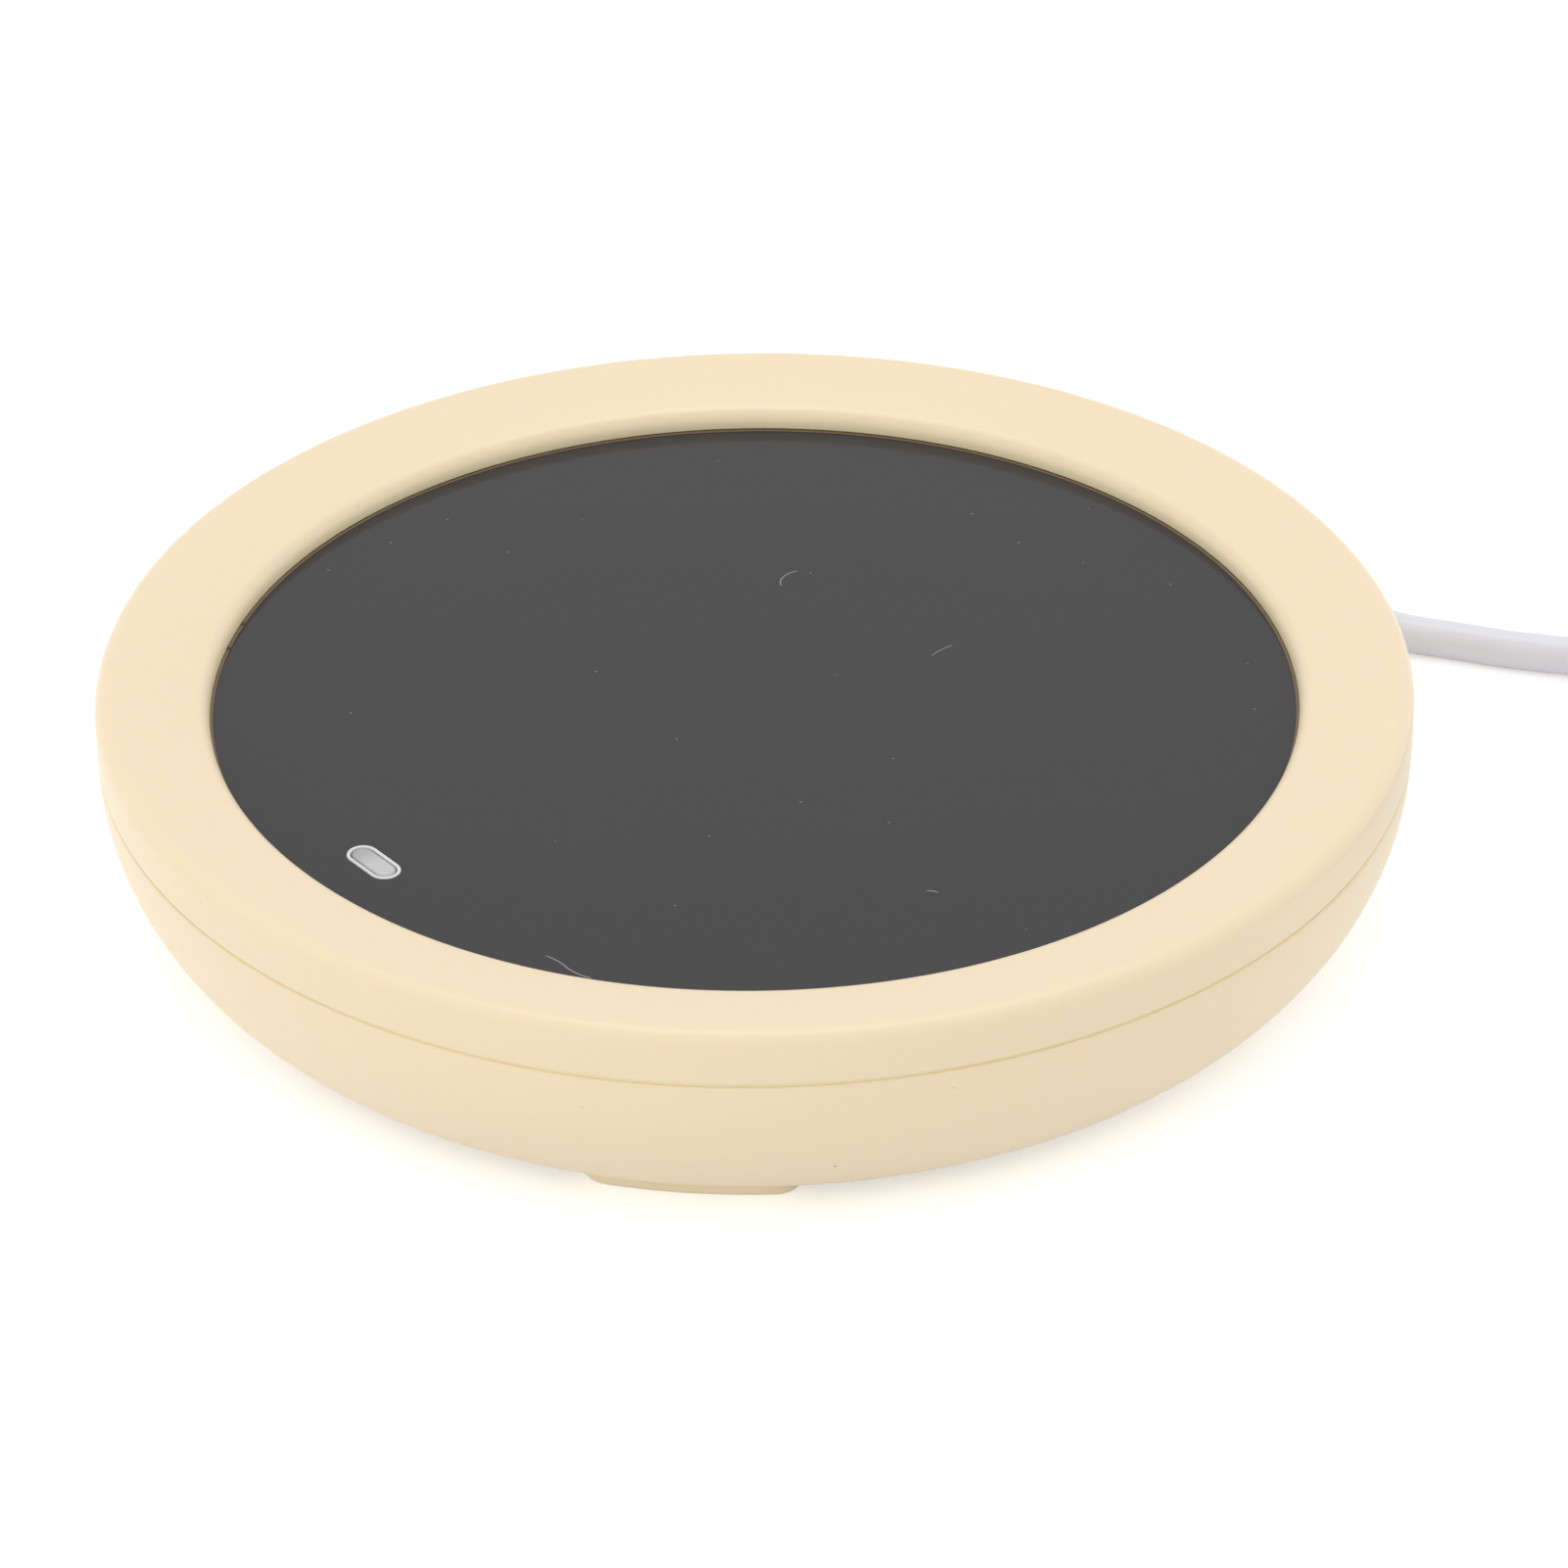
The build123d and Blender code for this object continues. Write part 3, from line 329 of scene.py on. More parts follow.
# %% Masks and paint
def specks(material, cell, reach, share, flat=False):
    """A mask of specks of a radius, one in a share of the cells; flat for a level surface."""
    tree = material.node_tree
    cells = add_node(tree, "ShaderNodeTexVoronoi", Vector=object_place(tree), Scale=1 / cell)
    cells.voronoi_dimensions = "2D" if flat else "3D"
    split = add_node(tree, "ShaderNodeSeparateColor", cells.outputs["Color"])
    near = math_node(tree, "LESS_THAN", cells.outputs["Distance"], reach / cell)
    chosen = math_node(tree, "LESS_THAN", split.outputs["Red"], share)
    faintest = 0.3
    paler = math_node(tree, "MULTIPLY_ADD", split.outputs["Green"], 1 - faintest, faintest)
    return math_node(tree, "MULTIPLY", math_node(tree, "MULTIPLY", near, chosen), paler)


def hair(material, start, middle, end, width):
    """A mask of a thin arc through three points (x, y) of a level surface."""
    (ax, ay), (bx, by), (cx, cy) = start, middle, end
    scale = 2 * (ax * (by - cy) + bx * (cy - ay) + cx * (ay - by))
    a, b, c = ax * ax + ay * ay, bx * bx + by * by, cx * cx + cy * cy
    centre = Vector((
        (a * (by - cy) + b * (cy - ay) + c * (ay - by)) / scale,
        (a * (cx - bx) + b * (ax - cx) + c * (bx - ax)) / scale,
    ))
    radius = (start - centre).length
    chord = end - start
    side = Vector((-chord.y, chord.x)).normalized()
    side = side if (middle - start).dot(side) > 0 else -side
    tree = material.node_tree
    level = vector_node(tree, "MULTIPLY", object_place(tree), (1, 1, 0))
    away = vector_node(tree, "SUBTRACT", level, (*centre, 0))
    off = math_node(tree, "SUBTRACT", vector_node(tree, "LENGTH", away), radius)
    thin = math_node(tree, "LESS_THAN", math_node(tree, "ABSOLUTE", off), width / 2)
    beyond_chord = vector_node(tree, "DOT_PRODUCT", away, (*side, 0))
    past = math_node(tree, "GREATER_THAN", beyond_chord, (start - centre).dot(side))
    return math_node(tree, "MULTIPLY", thin, past)


def spot(material, centre, radius):
    """A mask of one round mark about a point of a piece."""
    tree = material.node_tree
    away = vector_node(tree, "DISTANCE", object_place(tree), centre)
    return math_node(tree, "LESS_THAN", away, radius)


def paint(material, mask, colour):
    """Lays a colour over the drifting base colour where the mask is 1."""
    below = shader_of(material).inputs["Base Color"].links[0].from_socket
    mix = mix_colours(material.node_tree, mask, below, (*colour, 1))
    fill_shader(material, Base_Color=mix)


print("speck helpers ready")

# %% [markdown]
# ### Cream plastic
# The case is ABS from a finely blasted mould: satin, with a skin that only shows in a glancing
# light. Light goes about a millimetre into this plastic before it comes out again, red furthest,
# which warms its grooves and edges; that is the subsurface part. Where two walls meet, in the
# seam, and where the lip is thin, more of it comes through than the shader gives, so that light
# is painted into the colour: a line of painted warm light in the seam, and painted warm light down
# the inner side of the lip. Two close creams drift over the whole, and a few tiny dark specks are
# left in; two dark spots at the lip are painted shade, for small nicks.

# %% Cream plastic
cream = (0.865, 0.72, 0.50)
speck_colour, dirt_and_nick_shade_colour = (0.42, 0.30, 0.18), (0.22, 0.13, 0.07)
# Colours and places of painted light: a warm line in the seam and a warm tint down the lip's inner
# side
painted_seam_light_colour, painted_lip_light_colour = (0.95, 0.76, 0.46), (1.0, 0.85, 0.56)
seam_light_height, seam_light_reach = 19.53 * MM, 0.26 * MM
painted_lip_light_top, painted_lip_light_foot, lip_zone_radius = 23.1 * MM, 21.5 * MM, 56 * MM
nick_shade_spots = [
    # place and radius of each nick in the lip, painted as shade, in millimetres
    ((-43.9, -30.9, 21.4), 0.42),
    ((-40.9, -34.7, 21.4), 0.34),
]
side_specks = [
    # the same for the dark specks on the side
    ((52.73, -32.22, 8.0), 0.18),
    ((47.85, -37.1, 6.16), 0.16),
    ((39.19, -51.39, 15.85), 0.09),
]

case_finish = new_finish(
    "cream_shell", cream, 0.38, Specular_IOR_Level=0.6,
    Subsurface_Weight=0.35, Subsurface_Radius=(1.0, 0.65, 0.4), Subsurface_Scale=1.2 * MM,
)
drift(case_finish, cream, 0.985, 30 * MM)
grain(case_finish, 0.35 * MM, 0.004 * MM)
paint(case_finish, specks(case_finish, 2.5 * MM, 0.11 * MM, 0.07), speck_colour)
# Dark specks of dirt on the side, and painted shade at the two nicks in the lip
for place, radius in nick_shade_spots + side_specks:
    paint(case_finish, spot(case_finish, Vector(place) * MM, radius * MM), dirt_and_nick_shade_colour)

case_tree = case_finish.node_tree
case_place = object_place(case_tree)
case_height = add_node(case_tree, "ShaderNodeSeparateXYZ", case_place).outputs["Z"]
# Painted light: a line of lighter, warmer cream along the seam groove, for light that comes through
# the plastic there
over_seam = math_node(case_tree, "SUBTRACT", case_height, seam_light_height)
off_seam = math_node(case_tree, "ABSOLUTE", over_seam)
paint(case_finish, math_node(case_tree, "LESS_THAN", off_seam, seam_light_reach), painted_seam_light_colour)
# Painted light down the inner side of the lip: a lighter, warmer cream, strongest at the lip's foot
outwards = vector_node(case_tree, "MULTIPLY", case_place, (1, 1, 0))
from_axis = vector_node(case_tree, "LENGTH", outwards)
on_lip = math_node(case_tree, "LESS_THAN", from_axis, lip_zone_radius)
down_lip = add_node(
    case_tree, "ShaderNodeMapRange", Value=case_height,
    From_Min=painted_lip_light_top, From_Max=painted_lip_light_foot,
)
paint(case_finish, math_node(case_tree, "MULTIPLY", down_lip, on_lip), painted_lip_light_colour)
vary_roughness(case_finish, 0.35, 0.41, 8 * MM)
finishes["cream_shell"] = case_finish

foot_colour = (0.97, 0.83, 0.58)
foot_finish = new_finish("foot_rubber", foot_colour, 0.6)
drift(foot_finish, foot_colour, 0.96, 4 * MM)
grain(foot_finish, 0.2 * MM, 0.01 * MM)
finishes["foot_rubber"] = foot_finish
print("cream finishes ready")

# %% [markdown]
# ### Dark glass
# The glass is clear and printed dark grey on its underside, so it looks like one dark mirror. The
# dark lies in the base colour and the mirror in the shader's own reflection, which is set weak, so
# that the lip mirrors in it only faintly. Lint and dust lie on any glass plate; they are pale and
# matt. The longest hair is bent two ways, so it takes two arcs.

# %% Dark glass
glass_colour = (0.0445, 0.042, 0.0445)
dust_colour, lint_colour = (0.16, 0.16, 0.165), (0.32, 0.32, 0.33)
glass_finish = new_finish("dark_glass", glass_colour, 0.04, IOR=1.46, Specular_IOR_Level=0.2)
drift(glass_finish, glass_colour, 1.03, 25 * MM)
paint(glass_finish, specks(glass_finish, 8 * MM, 0.13 * MM, 0.22, flat=True), dust_colour)
lint = [
    # start, middle and end of each arc and its width, in millimetres
    ((23.4, -43.4), (24.6, -43.1), (26.0, -43.08), 0.11),
    ((26.0, -43.08), (27.3, -43.0), (29.0, -42.4), 0.12),
    ((-15.7, 15.8), (-16.9, 17.1), (-16.9, 18.8), 0.10),
    ((4.4, 19.0), (4.15, 20.4), (4.2, 21.8), 0.07),
    ((37.3, -8.55), (37.6, -8.2), (38.1, -7.95), 0.12),
]
for *places, width in lint:
    arc_points = [Vector(place) * MM for place in places]
    paint(glass_finish, hair(glass_finish, *arc_points, width * MM), lint_colour)
vary_roughness(glass_finish, 0.03, 0.06, 30 * MM)
finishes["dark_glass"] = glass_finish
print("glass ready, with", len(lint), "arcs of lint")

# %% [markdown]
# ### Everything else
# The other finishes follow one pattern: a colour, its drift, a grain. A table of plain values and
# a loop make them, so that one can be changed without reading the rest. Metal takes its colour as
# a reflection, so its metallic value is 1. The key's lens gets painted shade, darker towards one
# end; the tape of the strap is speckled with its small pale loops; and painted shade at the nicks
# in the lip darkens the gasket.

# %% The other finishes
other_finishes = {
    # slot: colour, roughness, metallic, grain width, grain depth in millimetres
    "gasket": ((0.17, 0.115, 0.06), 0.55, 0, 0.3, 0.01),
    "key_trim": ((0.75, 0.74, 0.75), 0.32, 0, 0.4, 0.004),
    "key_cap": ((0.55, 0.54, 0.55), 0.42, 0, 0.5, 0.006),
    "black_plastic": ((0.02, 0.02, 0.022), 0.5, 0, 0.3, 0.01),
    "aluminium": ((0.78, 0.78, 0.79), 0.32, 1, 0.5, 0.004),
    "film": ((0.50, 0.17, 0.02), 0.25, 0, 1.0, 0.01),
    "insulation": ((0.78, 0.76, 0.70), 0.95, 0, 0.4, 0.12),
    "copper": ((0.72, 0.42, 0.28), 0.35, 1, 0.4, 0.01),
    "carrier": ((0.68, 0.65, 0.58), 0.5, 0, 0.4, 0.01),
    "steel": ((0.60, 0.60, 0.61), 0.3, 1, 0.3, 0.01),
    "circuit_board": ((0.012, 0.12, 0.04), 0.3, 0, 0.6, 0.01),
    "wire_insulation": ((0.45, 0.02, 0.015), 0.45, 0, 0.4, 0.01),
    "white_cord": ((0.77, 0.77, 0.83), 0.36, 0, 0.5, 0.006),
    "tie": ((0.55, 0.55, 0.55), 0.9, 0, 0.25, 0.12),
    "plug_steel": ((0.66, 0.66, 0.66), 0.28, 1, 0.6, 0.004),
    "gold": ((0.83, 0.60, 0.25), 0.25, 1, 0.3, 0.004),
    "capacitor": ((0.50, 0.34, 0.18), 0.5, 0, 0.3, 0.01),
}
for slot, (colour, roughness, metallic, width, depth) in other_finishes.items():
    finish = new_finish(slot, colour, roughness, Metallic=metallic)
    drift(finish, colour, 0.95, 6 * MM)
    grain(finish, width * MM, depth * MM)
    finishes[slot] = finish

# Painted shade at the nicks, darker still on the gasket
for place, radius in nick_shade_spots:
    nick_shade_mask = spot(finishes["gasket"], Vector(place) * MM, radius * MM)
    paint(finishes["gasket"], nick_shade_mask, shaded(dirt_and_nick_shade_colour, 0.2))

# Painted shade on the key's lens: its colour darkens towards the -X end
cap_shade_per_metre, cap_shade_in_middle = -380.0, 0.1
cap_tree = finishes["key_cap"].node_tree
cap_x = add_node(cap_tree, "ShaderNodeSeparateXYZ", object_place(cap_tree)).outputs["X"]
cap_shade = math_node(cap_tree, "MULTIPLY_ADD", cap_x, cap_shade_per_metre, cap_shade_in_middle)
paint(finishes["key_cap"], cap_shade, (0.37, 0.365, 0.375))
paint(finishes["tie"], specks(finishes["tie"], 0.6 * MM, 0.17 * MM, 0.6), (0.74, 0.74, 0.74))
print(len(finishes), "finishes")

# %% Dress the pieces that keep their shape
for part in frame["record"]["subparts"]:
    node = frame["nodes"][part["node"]]
    node.data.materials.clear()
    node.data.materials.append(finishes[part["material_slot"]])
print(len(frame["nodes"]), "nodes dressed")

# %% [markdown]
# ## Turned pieces
# Ring, bowl and bush are bodies of revolution: one section carried round an axis. A Geometry Nodes
# tree does this once for all of them. It takes a section drawn as a closed loop of edges, and
# sweeps it round a circle. The section's corners are rounded first, with true arcs.


# %% Round the corners of a section
def rounded(corners, steps=5):
    """A closed section from corners (radius, height, round); a sharp corner's round is 0."""
    section = []
    count = len(corners)
    for index, (x, y, size) in enumerate(corners):
        here = Vector((x, y))
        before = Vector(corners[index - 1][:2]) - here
        after = Vector(corners[(index + 1) % count][:2]) - here
        if size == 0:
            section.append(here)
            continue
        half_angle = before.angle(after) / 2
        bisector = (before.normalized() + after.normalized()).normalized()
        centre = here + bisector * (size / sin(half_angle))
        start = here + before.normalized() * (size / tan(half_angle)) - centre
        sweep = pi - 2 * half_angle
        sweep = sweep if before.cross(after) < 0 else -sweep
        for number in range(steps + 1):
            turned_by = Matrix.Rotation(sweep * number / steps, 2)
            section.append(centre + turned_by @ start)
    return section


def rounded_box(near, far, low, high, rounds, steps):
    """A rectangle whose corners, from (near, low) by way of (far, low), have the given rounds."""
    places = ((near, low), (far, low), (far, high), (near, high))
    return rounded([(*place, size) for place, size in zip(places, rounds)], steps)


def loop_mesh(name, section):
    """A closed loop of edges in the XY plane: X is the radius and Y the height."""
    mesh = bpy.data.meshes.new(name)
    edges = [(index, (index + 1) % len(section)) for index in range(len(section))]
    mesh.from_pydata([(*point, 0) for point in section], edges, [])
    return new_object(name, mesh)


print("a square with round corners has", len(rounded_box(0, 9, 0, 9, [1] * 4, 5)), "points")


# %% [markdown]
# A Geometry Nodes tree is built like a material, from nodes and links. Its inputs are named, so
# that the modifier shows them as sizes. Every tree ends alike: instances become real geometry, and
# that takes the finish.


# %% Helpers for shape trees
def new_tree(name, inputs):
    """A geometry tree with the named inputs, a finish and one output; and the inputs' sockets."""
    tree = bpy.data.node_groups.new(name, "GeometryNodeTree")
    tree.interface.new_socket("Geometry", in_out="INPUT", socket_type="NodeSocketGeometry")
    for label, kind, default in inputs:
        socket = tree.interface.new_socket(label, in_out="INPUT", socket_type=kind)
        socket.default_value = default
    tree.interface.new_socket("Material", in_out="INPUT", socket_type="NodeSocketMaterial")
    tree.interface.new_socket("Geometry", in_out="OUTPUT", socket_type="NodeSocketGeometry")
    return tree, tree.nodes.new("NodeGroupInput").outputs


def end_tree(tree, given, shape):
    """Makes instances real, sets the finish and gives the result out."""
    real = add_node(tree, "GeometryNodeRealizeInstances", shape)
    dressed = add_node(tree, "GeometryNodeSetMaterial", Geometry=real, Material=given["Material"])
    add_node(tree, "NodeGroupOutput", dressed)


def keep_result(piece, modifier):
    """Keeps what a modifier makes as the piece's own mesh, and removes the modifier."""
    bpy.context.view_layer.update()
    evaluated = piece.evaluated_get(bpy.context.evaluated_depsgraph_get())
    mesh = bpy.data.meshes.new_from_object(evaluated)
    piece.modifiers.remove(modifier)
    piece.data = mesh


def run_tree(piece, tree, **values):
    """Runs a tree on a piece; input values are given by name, with _ for a space."""
    modifier = piece.modifiers.new(tree.name, "NODES")
    modifier.node_group = tree
    for item in tree.interface.items_tree:
        key = item.name.replace(" ", "_")
        if item.in_out == "INPUT" and key in values:
            modifier[item.identifier] = values[key]
    keep_result(piece, modifier)


def settle(piece, smooth_below=40):
    """Merges doubles, points the faces outwards and shades smooth below an angle in degrees."""
    work = bmesh.new()
    work.from_mesh(piece.data)
    bmesh.ops.remove_doubles(work, verts=work.verts, dist=0.001 * MM)
    bmesh.ops.recalc_face_normals(work, faces=work.faces)
    work.to_mesh(piece.data)
    work.free()
    piece.data.shade_smooth()
    piece.data.set_sharp_from_angle(angle=radians(smooth_below))
    return piece


def report(piece):
    faces = len(piece.data.polygons)
    loose = sum(1 for edge in piece.data.edges if edge.is_loose)
    print(piece.name, faces, "faces,", loose, "loose edges")


print("tree helpers ready")

# %% The turning tree
turning, given = new_tree("turning", [
    ("Segments", "NodeSocketInt", 256),
    ("Path Radius", "NodeSocketFloat", 50 * MM),
])
section_curve = add_node(turning, "GeometryNodeMeshToCurve", Mesh=given["Geometry"])
inwards = math_node(turning, "MULTIPLY", given["Path Radius"], -1)
offset = add_node(turning, "ShaderNodeCombineXYZ", X=inwards)
laid = add_node(turning, "GeometryNodeTransform", Geometry=section_curve, Translation=offset)
flipped = add_node(turning, "GeometryNodeTransform", Geometry=laid, Scale=(1, -1, 1))
circle = add_node(
    turning, "GeometryNodeCurvePrimitiveCircle",
    Resolution=given["Segments"], Radius=given["Path Radius"],
)
swept = add_node(turning, "GeometryNodeCurveToMesh", Curve=circle, Profile_Curve=flipped)
merged = add_node(turning, "GeometryNodeMergeByDistance", Geometry=swept, Distance=0.001 * MM)
end_tree(turning, given, merged)


def turn(name, section, finish, segments=256):
    """A body of revolution about Z from a closed section of (radius, height) points."""
    piece = loop_mesh(name, section)
    run_tree(piece, turning, Segments=segments, Material=finishes[finish])
    return settle(piece)


print("turning tree:", len(turning.nodes), "nodes")

# %% [markdown]
# ## The ring around the glass
# The ring's top falls from its outer ridge to its lip, and bulges a little on the way. Its outer
# edge is round and throws a soft line of light; its lip rolls down to the glass, and ends a hair
# above it. Its lower edge has a small round, and so has the bowl's shoulder below it, so that the
# two meet in a shallow groove.

# %% Draw and turn the ring
ring_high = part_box("top_bezel")[1]
bowl_low, bowl_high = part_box("bottom_shell")
glass_low, glass_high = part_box("glass_plate")
ring_radius, bowl_radius = ring_high.x, bowl_high.x
rim_height, seam_height = ring_high.z, 19.5 * MM
ring_foot, joint_gap = seam_height + 0.2 * MM, 0.02 * MM
glass_top = glass_high.z
lip_radius, lip_round = 53.65 * MM, 1.68 * MM
lip_under, lip_edge = glass_top + 0.3 * MM, glass_top + 0.2 * MM
lip_foot = lip_radius + 0.5 * MM
rim_drop, rim_crown = 1.65 * MM, 0.12 * MM
rim_round = 1.6 * MM
ridge_radius = ring_radius - rim_round - 0.2 * MM
slope_points = 24


def slope(share):
    """A point on the sloping top: share 0 at the ridge, 1 at the lip."""
    return (
        ridge_radius + (lip_radius - ridge_radius) * share,
        rim_height - rim_drop * share + rim_crown * 4 * share * (1 - share),
        0,
    )


slopes = [slope(number / slope_points) for number in range(slope_points)]
fence_inner, fence_outer = glass_high.x + 0.3 * MM, glass_high.x + 1.8 * MM
fence_foot = glass_low.z + 0.3 * MM
ceiling = rim_height - 2.6 * MM
skirt_inner = bowl_radius - 1.2 * MM
lip_edge_round, ring_foot_round = 0.06 * MM, 0.18 * MM
ring_corners = [
    (lip_radius, rim_height - rim_drop, lip_round),
    (lip_radius, lip_edge, lip_edge_round),
    (lip_foot, lip_edge, 0),
    (lip_foot, lip_under, 0),
    (fence_inner, lip_under, 0),
    (fence_inner, fence_foot, 0),
    (fence_outer, fence_foot, 0),
    (fence_outer, ceiling, 0),
    (skirt_inner, ceiling, 0),
    (skirt_inner, ring_foot, 0),
    (ring_radius, ring_foot, ring_foot_round),
    (ring_radius, rim_height, rim_round),
    *[point for point in slopes if point[0] > lip_radius + lip_round],
]
ring = turn("ring", rounded(ring_corners, steps=10), "cream_shell", segments=320)
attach(ring, "case")
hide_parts("top_bezel")
report(ring)

# %% [markdown]
# ## The gasket
# A brown rubber gasket seals the glass to the ring. It lies under the lip, and a thin bead of it
# shows all round, pressed out between lip and glass. It is turned like the ring.

# %% Turn the gasket
gasket_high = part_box("glass_gasket")[1]
bead_radius = lip_radius - 0.3 * MM
bead_height, bead_round = glass_top + 0.12 * MM, 0.07 * MM
film = 0.01 * MM                             # keeps faces that touch from lying in one plane
gasket_corners = [
    (bead_radius, glass_top + film, 0),
    (bead_radius, bead_height, bead_round),
    (lip_foot + film, bead_height, 0),
    (lip_foot + film, lip_under - film, 0),
    (gasket_high.x, lip_under - film, 0),
    (gasket_high.x, glass_top + film, 0),
]
gasket = turn("gasket", rounded(gasket_corners), "gasket", segments=320)
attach(gasket, "case")
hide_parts("glass_gasket")
report(gasket)

# %% [markdown]
# ## The bowl
# The lower shell is a bowl: a flat floor, a side that is one large arc, and a tongue that slips
# inside the ring. Four shallow pockets in the floor take the feet, and a round hole at the back
# takes the lead's bush. Pockets and hole are cut with a Boolean, because they aren't round about
# the bowl's axis.

# %% Draw and turn the bowl
floor_low = bowl_low.z
wall = 2.4 * MM
floor_high = floor_low + wall
side_run = 9.474 * MM
crest_height = seam_height - 0.6 * MM
side_rise = crest_height - floor_low
side_curve = (side_run**2 + side_rise**2) / (2 * side_run)
tongue_top, step_top = bowl_high.z, ring_foot - joint_gap
shoulder_height, groove_depth = seam_height - 0.14 * MM, 0.2 * MM
tongue_inner, tongue_outer = bowl_radius - wall, bowl_radius - wall + 1.0 * MM
floor_round, shoulder_round, groove_round = 2.5 * MM, 0.3 * MM, 0.05 * MM
side_foot, side_head = floor_low + 1.2 * MM, seam_height - 0.2 * MM
arc_steps = 20


def side_radius(height, inset=0.0):
    """Radius of the bowl's side at a height, or of the surface inset below it."""
    return bowl_radius - side_curve + sqrt((side_curve - inset) ** 2 - (height - crest_height) ** 2)


def side_arc(low, high, inset=0.0):
    """Points up the side, from low to high, without the two ends."""
    heights = [low + (high - low) * number / arc_steps for number in range(1, arc_steps)]
    return [(side_radius(height, inset), height, 0) for height in heights]


bowl_corners = [
    (0, floor_low, 0),
    (side_radius(floor_low), floor_low, floor_round),
    *side_arc(side_foot, side_head),
    (side_radius(seam_height), shoulder_height, shoulder_round),
    (bowl_radius - groove_depth, shoulder_height, groove_round),
    (bowl_radius - groove_depth, step_top, 0),
    (tongue_outer, step_top, 0),
    (tongue_outer, tongue_top, 0),
    (tongue_inner, tongue_top, 0),
    (tongue_inner, crest_height, 0),
    *reversed(side_arc(floor_high, crest_height, wall)),
    (side_radius(floor_high, wall), floor_high, 0),
    (0, floor_high, 0),
]
bowl = turn("bowl", rounded(bowl_corners, steps=8), "cream_shell", segments=320)
report(bowl)

# %% [markdown]
# ## The feet
# Each foot is a bar bent along an arc, with round ends and a soft lower edge, pressed into a
# pocket of the same outline. One outline function draws them all: grown by the clearance it gives
# the pocket, shrunk a little it gives the rounding. A Geometry Nodes tree carries one bar round
# the case, four times.

# %% Outline of a foot
foot_low, foot_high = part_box("foot_front_right")
foot_circle = 52.2 * MM
foot_width = 5.0 * MM
foot_sweep = radians(17.4)
foot_top = foot_high.z
foot_round = 0.6 * MM
foot_count, first_foot = 4, radians(45)


def arc(centre, radius, start, sweep, steps):
    """Points along an arc about a centre, from a starting angle, with both of its ends."""
    angles = [start + sweep * number / steps for number in range(steps + 1)]
    return [centre + Vector((radius * cos(angle), radius * sin(angle))) for angle in angles]


def foot_outline(grown, points_per_end=10, points_per_side=14):
    """Points round a foot whose middle is on the X axis, grown outwards by a margin."""
    half, reach, axis = foot_sweep / 2, foot_width / 2 + grown, Vector((0, 0))
    last_end, first_end = Matrix.Rotation(half, 2), Matrix.Rotation(-half, 2)
    middle = Vector((foot_circle, 0))
    return [
        *arc(axis, foot_circle + reach, -half, foot_sweep, points_per_side),
        *arc(last_end @ middle, reach, half, pi, points_per_end)[1:-1],
        *arc(axis, foot_circle - reach, half, -foot_sweep, points_per_side),
        *arc(first_end @ middle, reach, pi - half, pi, points_per_end)[1:-1],
    ]


def foot_ring(grown, height):
    return [(*point, height) for point in foot_outline(grown)]


def loft(name, rings, finish, closed=True):
    """A skin over rings with the same number of points; closed puts a lid on both ends."""
    work = bmesh.new()
    rows = [[work.verts.new(point) for point in ring] for ring in rings]
    count = len(rows[0])
    for row, following in zip(rows, rows[1:]):
        for index in range(count):
            other = (index + 1) % count
            work.faces.new((row[index], row[other], following[other], following[index]))
    if closed:
        work.faces.new(reversed(rows[0]))
        work.faces.new(rows[-1])
    mesh = bpy.data.meshes.new(name)
    work.to_mesh(mesh)
    work.free()
    mesh.materials.append(finishes[finish])
    return new_object(name, mesh)


def box_rings(low, high):
    """The two rings of a plain box between its lowest and highest corner."""
    outline = ((low[0], low[1]), (high[0], low[1]), (high[0], high[1]), (low[0], high[1]))
    return [[(*corner, height) for corner in outline] for height in (low[2], high[2])]


print("a foot's outline has", len(foot_outline(0)), "points")

# %% The carrying-round tree
carrying, given = new_tree("carrying_round", [
    ("Count", "NodeSocketInt", 4),
    ("First Angle", "NodeSocketFloat", 0.0),
])
places = add_node(carrying, "GeometryNodeMeshLine", Count=given["Count"], Offset=(0, 0, 0))
number = add_node(carrying, "GeometryNodeInputIndex")
spacing = math_node(carrying, "DIVIDE", 2 * pi, given["Count"])
bearing = math_node(carrying, "MULTIPLY_ADD", number, spacing, given["First Angle"])
rotation = add_node(carrying, "ShaderNodeCombineXYZ", Z=bearing)
carried = add_node(
    carrying, "GeometryNodeInstanceOnPoints",
    Points=places, Instance=given["Geometry"], Rotation=rotation,
)
end_tree(carrying, given, carried)
print("carrying tree:", len(carrying.nodes), "nodes")

# %% Make the four feet
round_steps = 6
foot_rings = []
for number in range(round_steps + 1):
    angle = pi / 2 * number / round_steps
    height = foot_low.z + foot_round * (1 - cos(angle))
    foot_rings.append(foot_ring(-foot_round * (1 - sin(angle)), height))
foot_rings.append(foot_ring(0, foot_top))
feet = loft("feet", foot_rings, "foot_rubber")
run_tree(feet, carrying, Count=foot_count, First_Angle=first_foot, Material=finishes["foot_rubber"])
settle(feet)
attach(feet, "case")
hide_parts("foot_front_right", "foot_rear_right", "foot_rear_left", "foot_front_left")
report(feet)


# %% Cut the pockets and the bush's hole
def cut(piece, cutter):
    """Takes a closed cutter out of a piece, and removes the cutter."""
    modifier = piece.modifiers.new("cut", "BOOLEAN")
    modifier.operation = "DIFFERENCE"
    modifier.solver = "EXACT"
    modifier.object = cutter
    keep_result(piece, modifier)
    bpy.data.objects.remove(cutter)


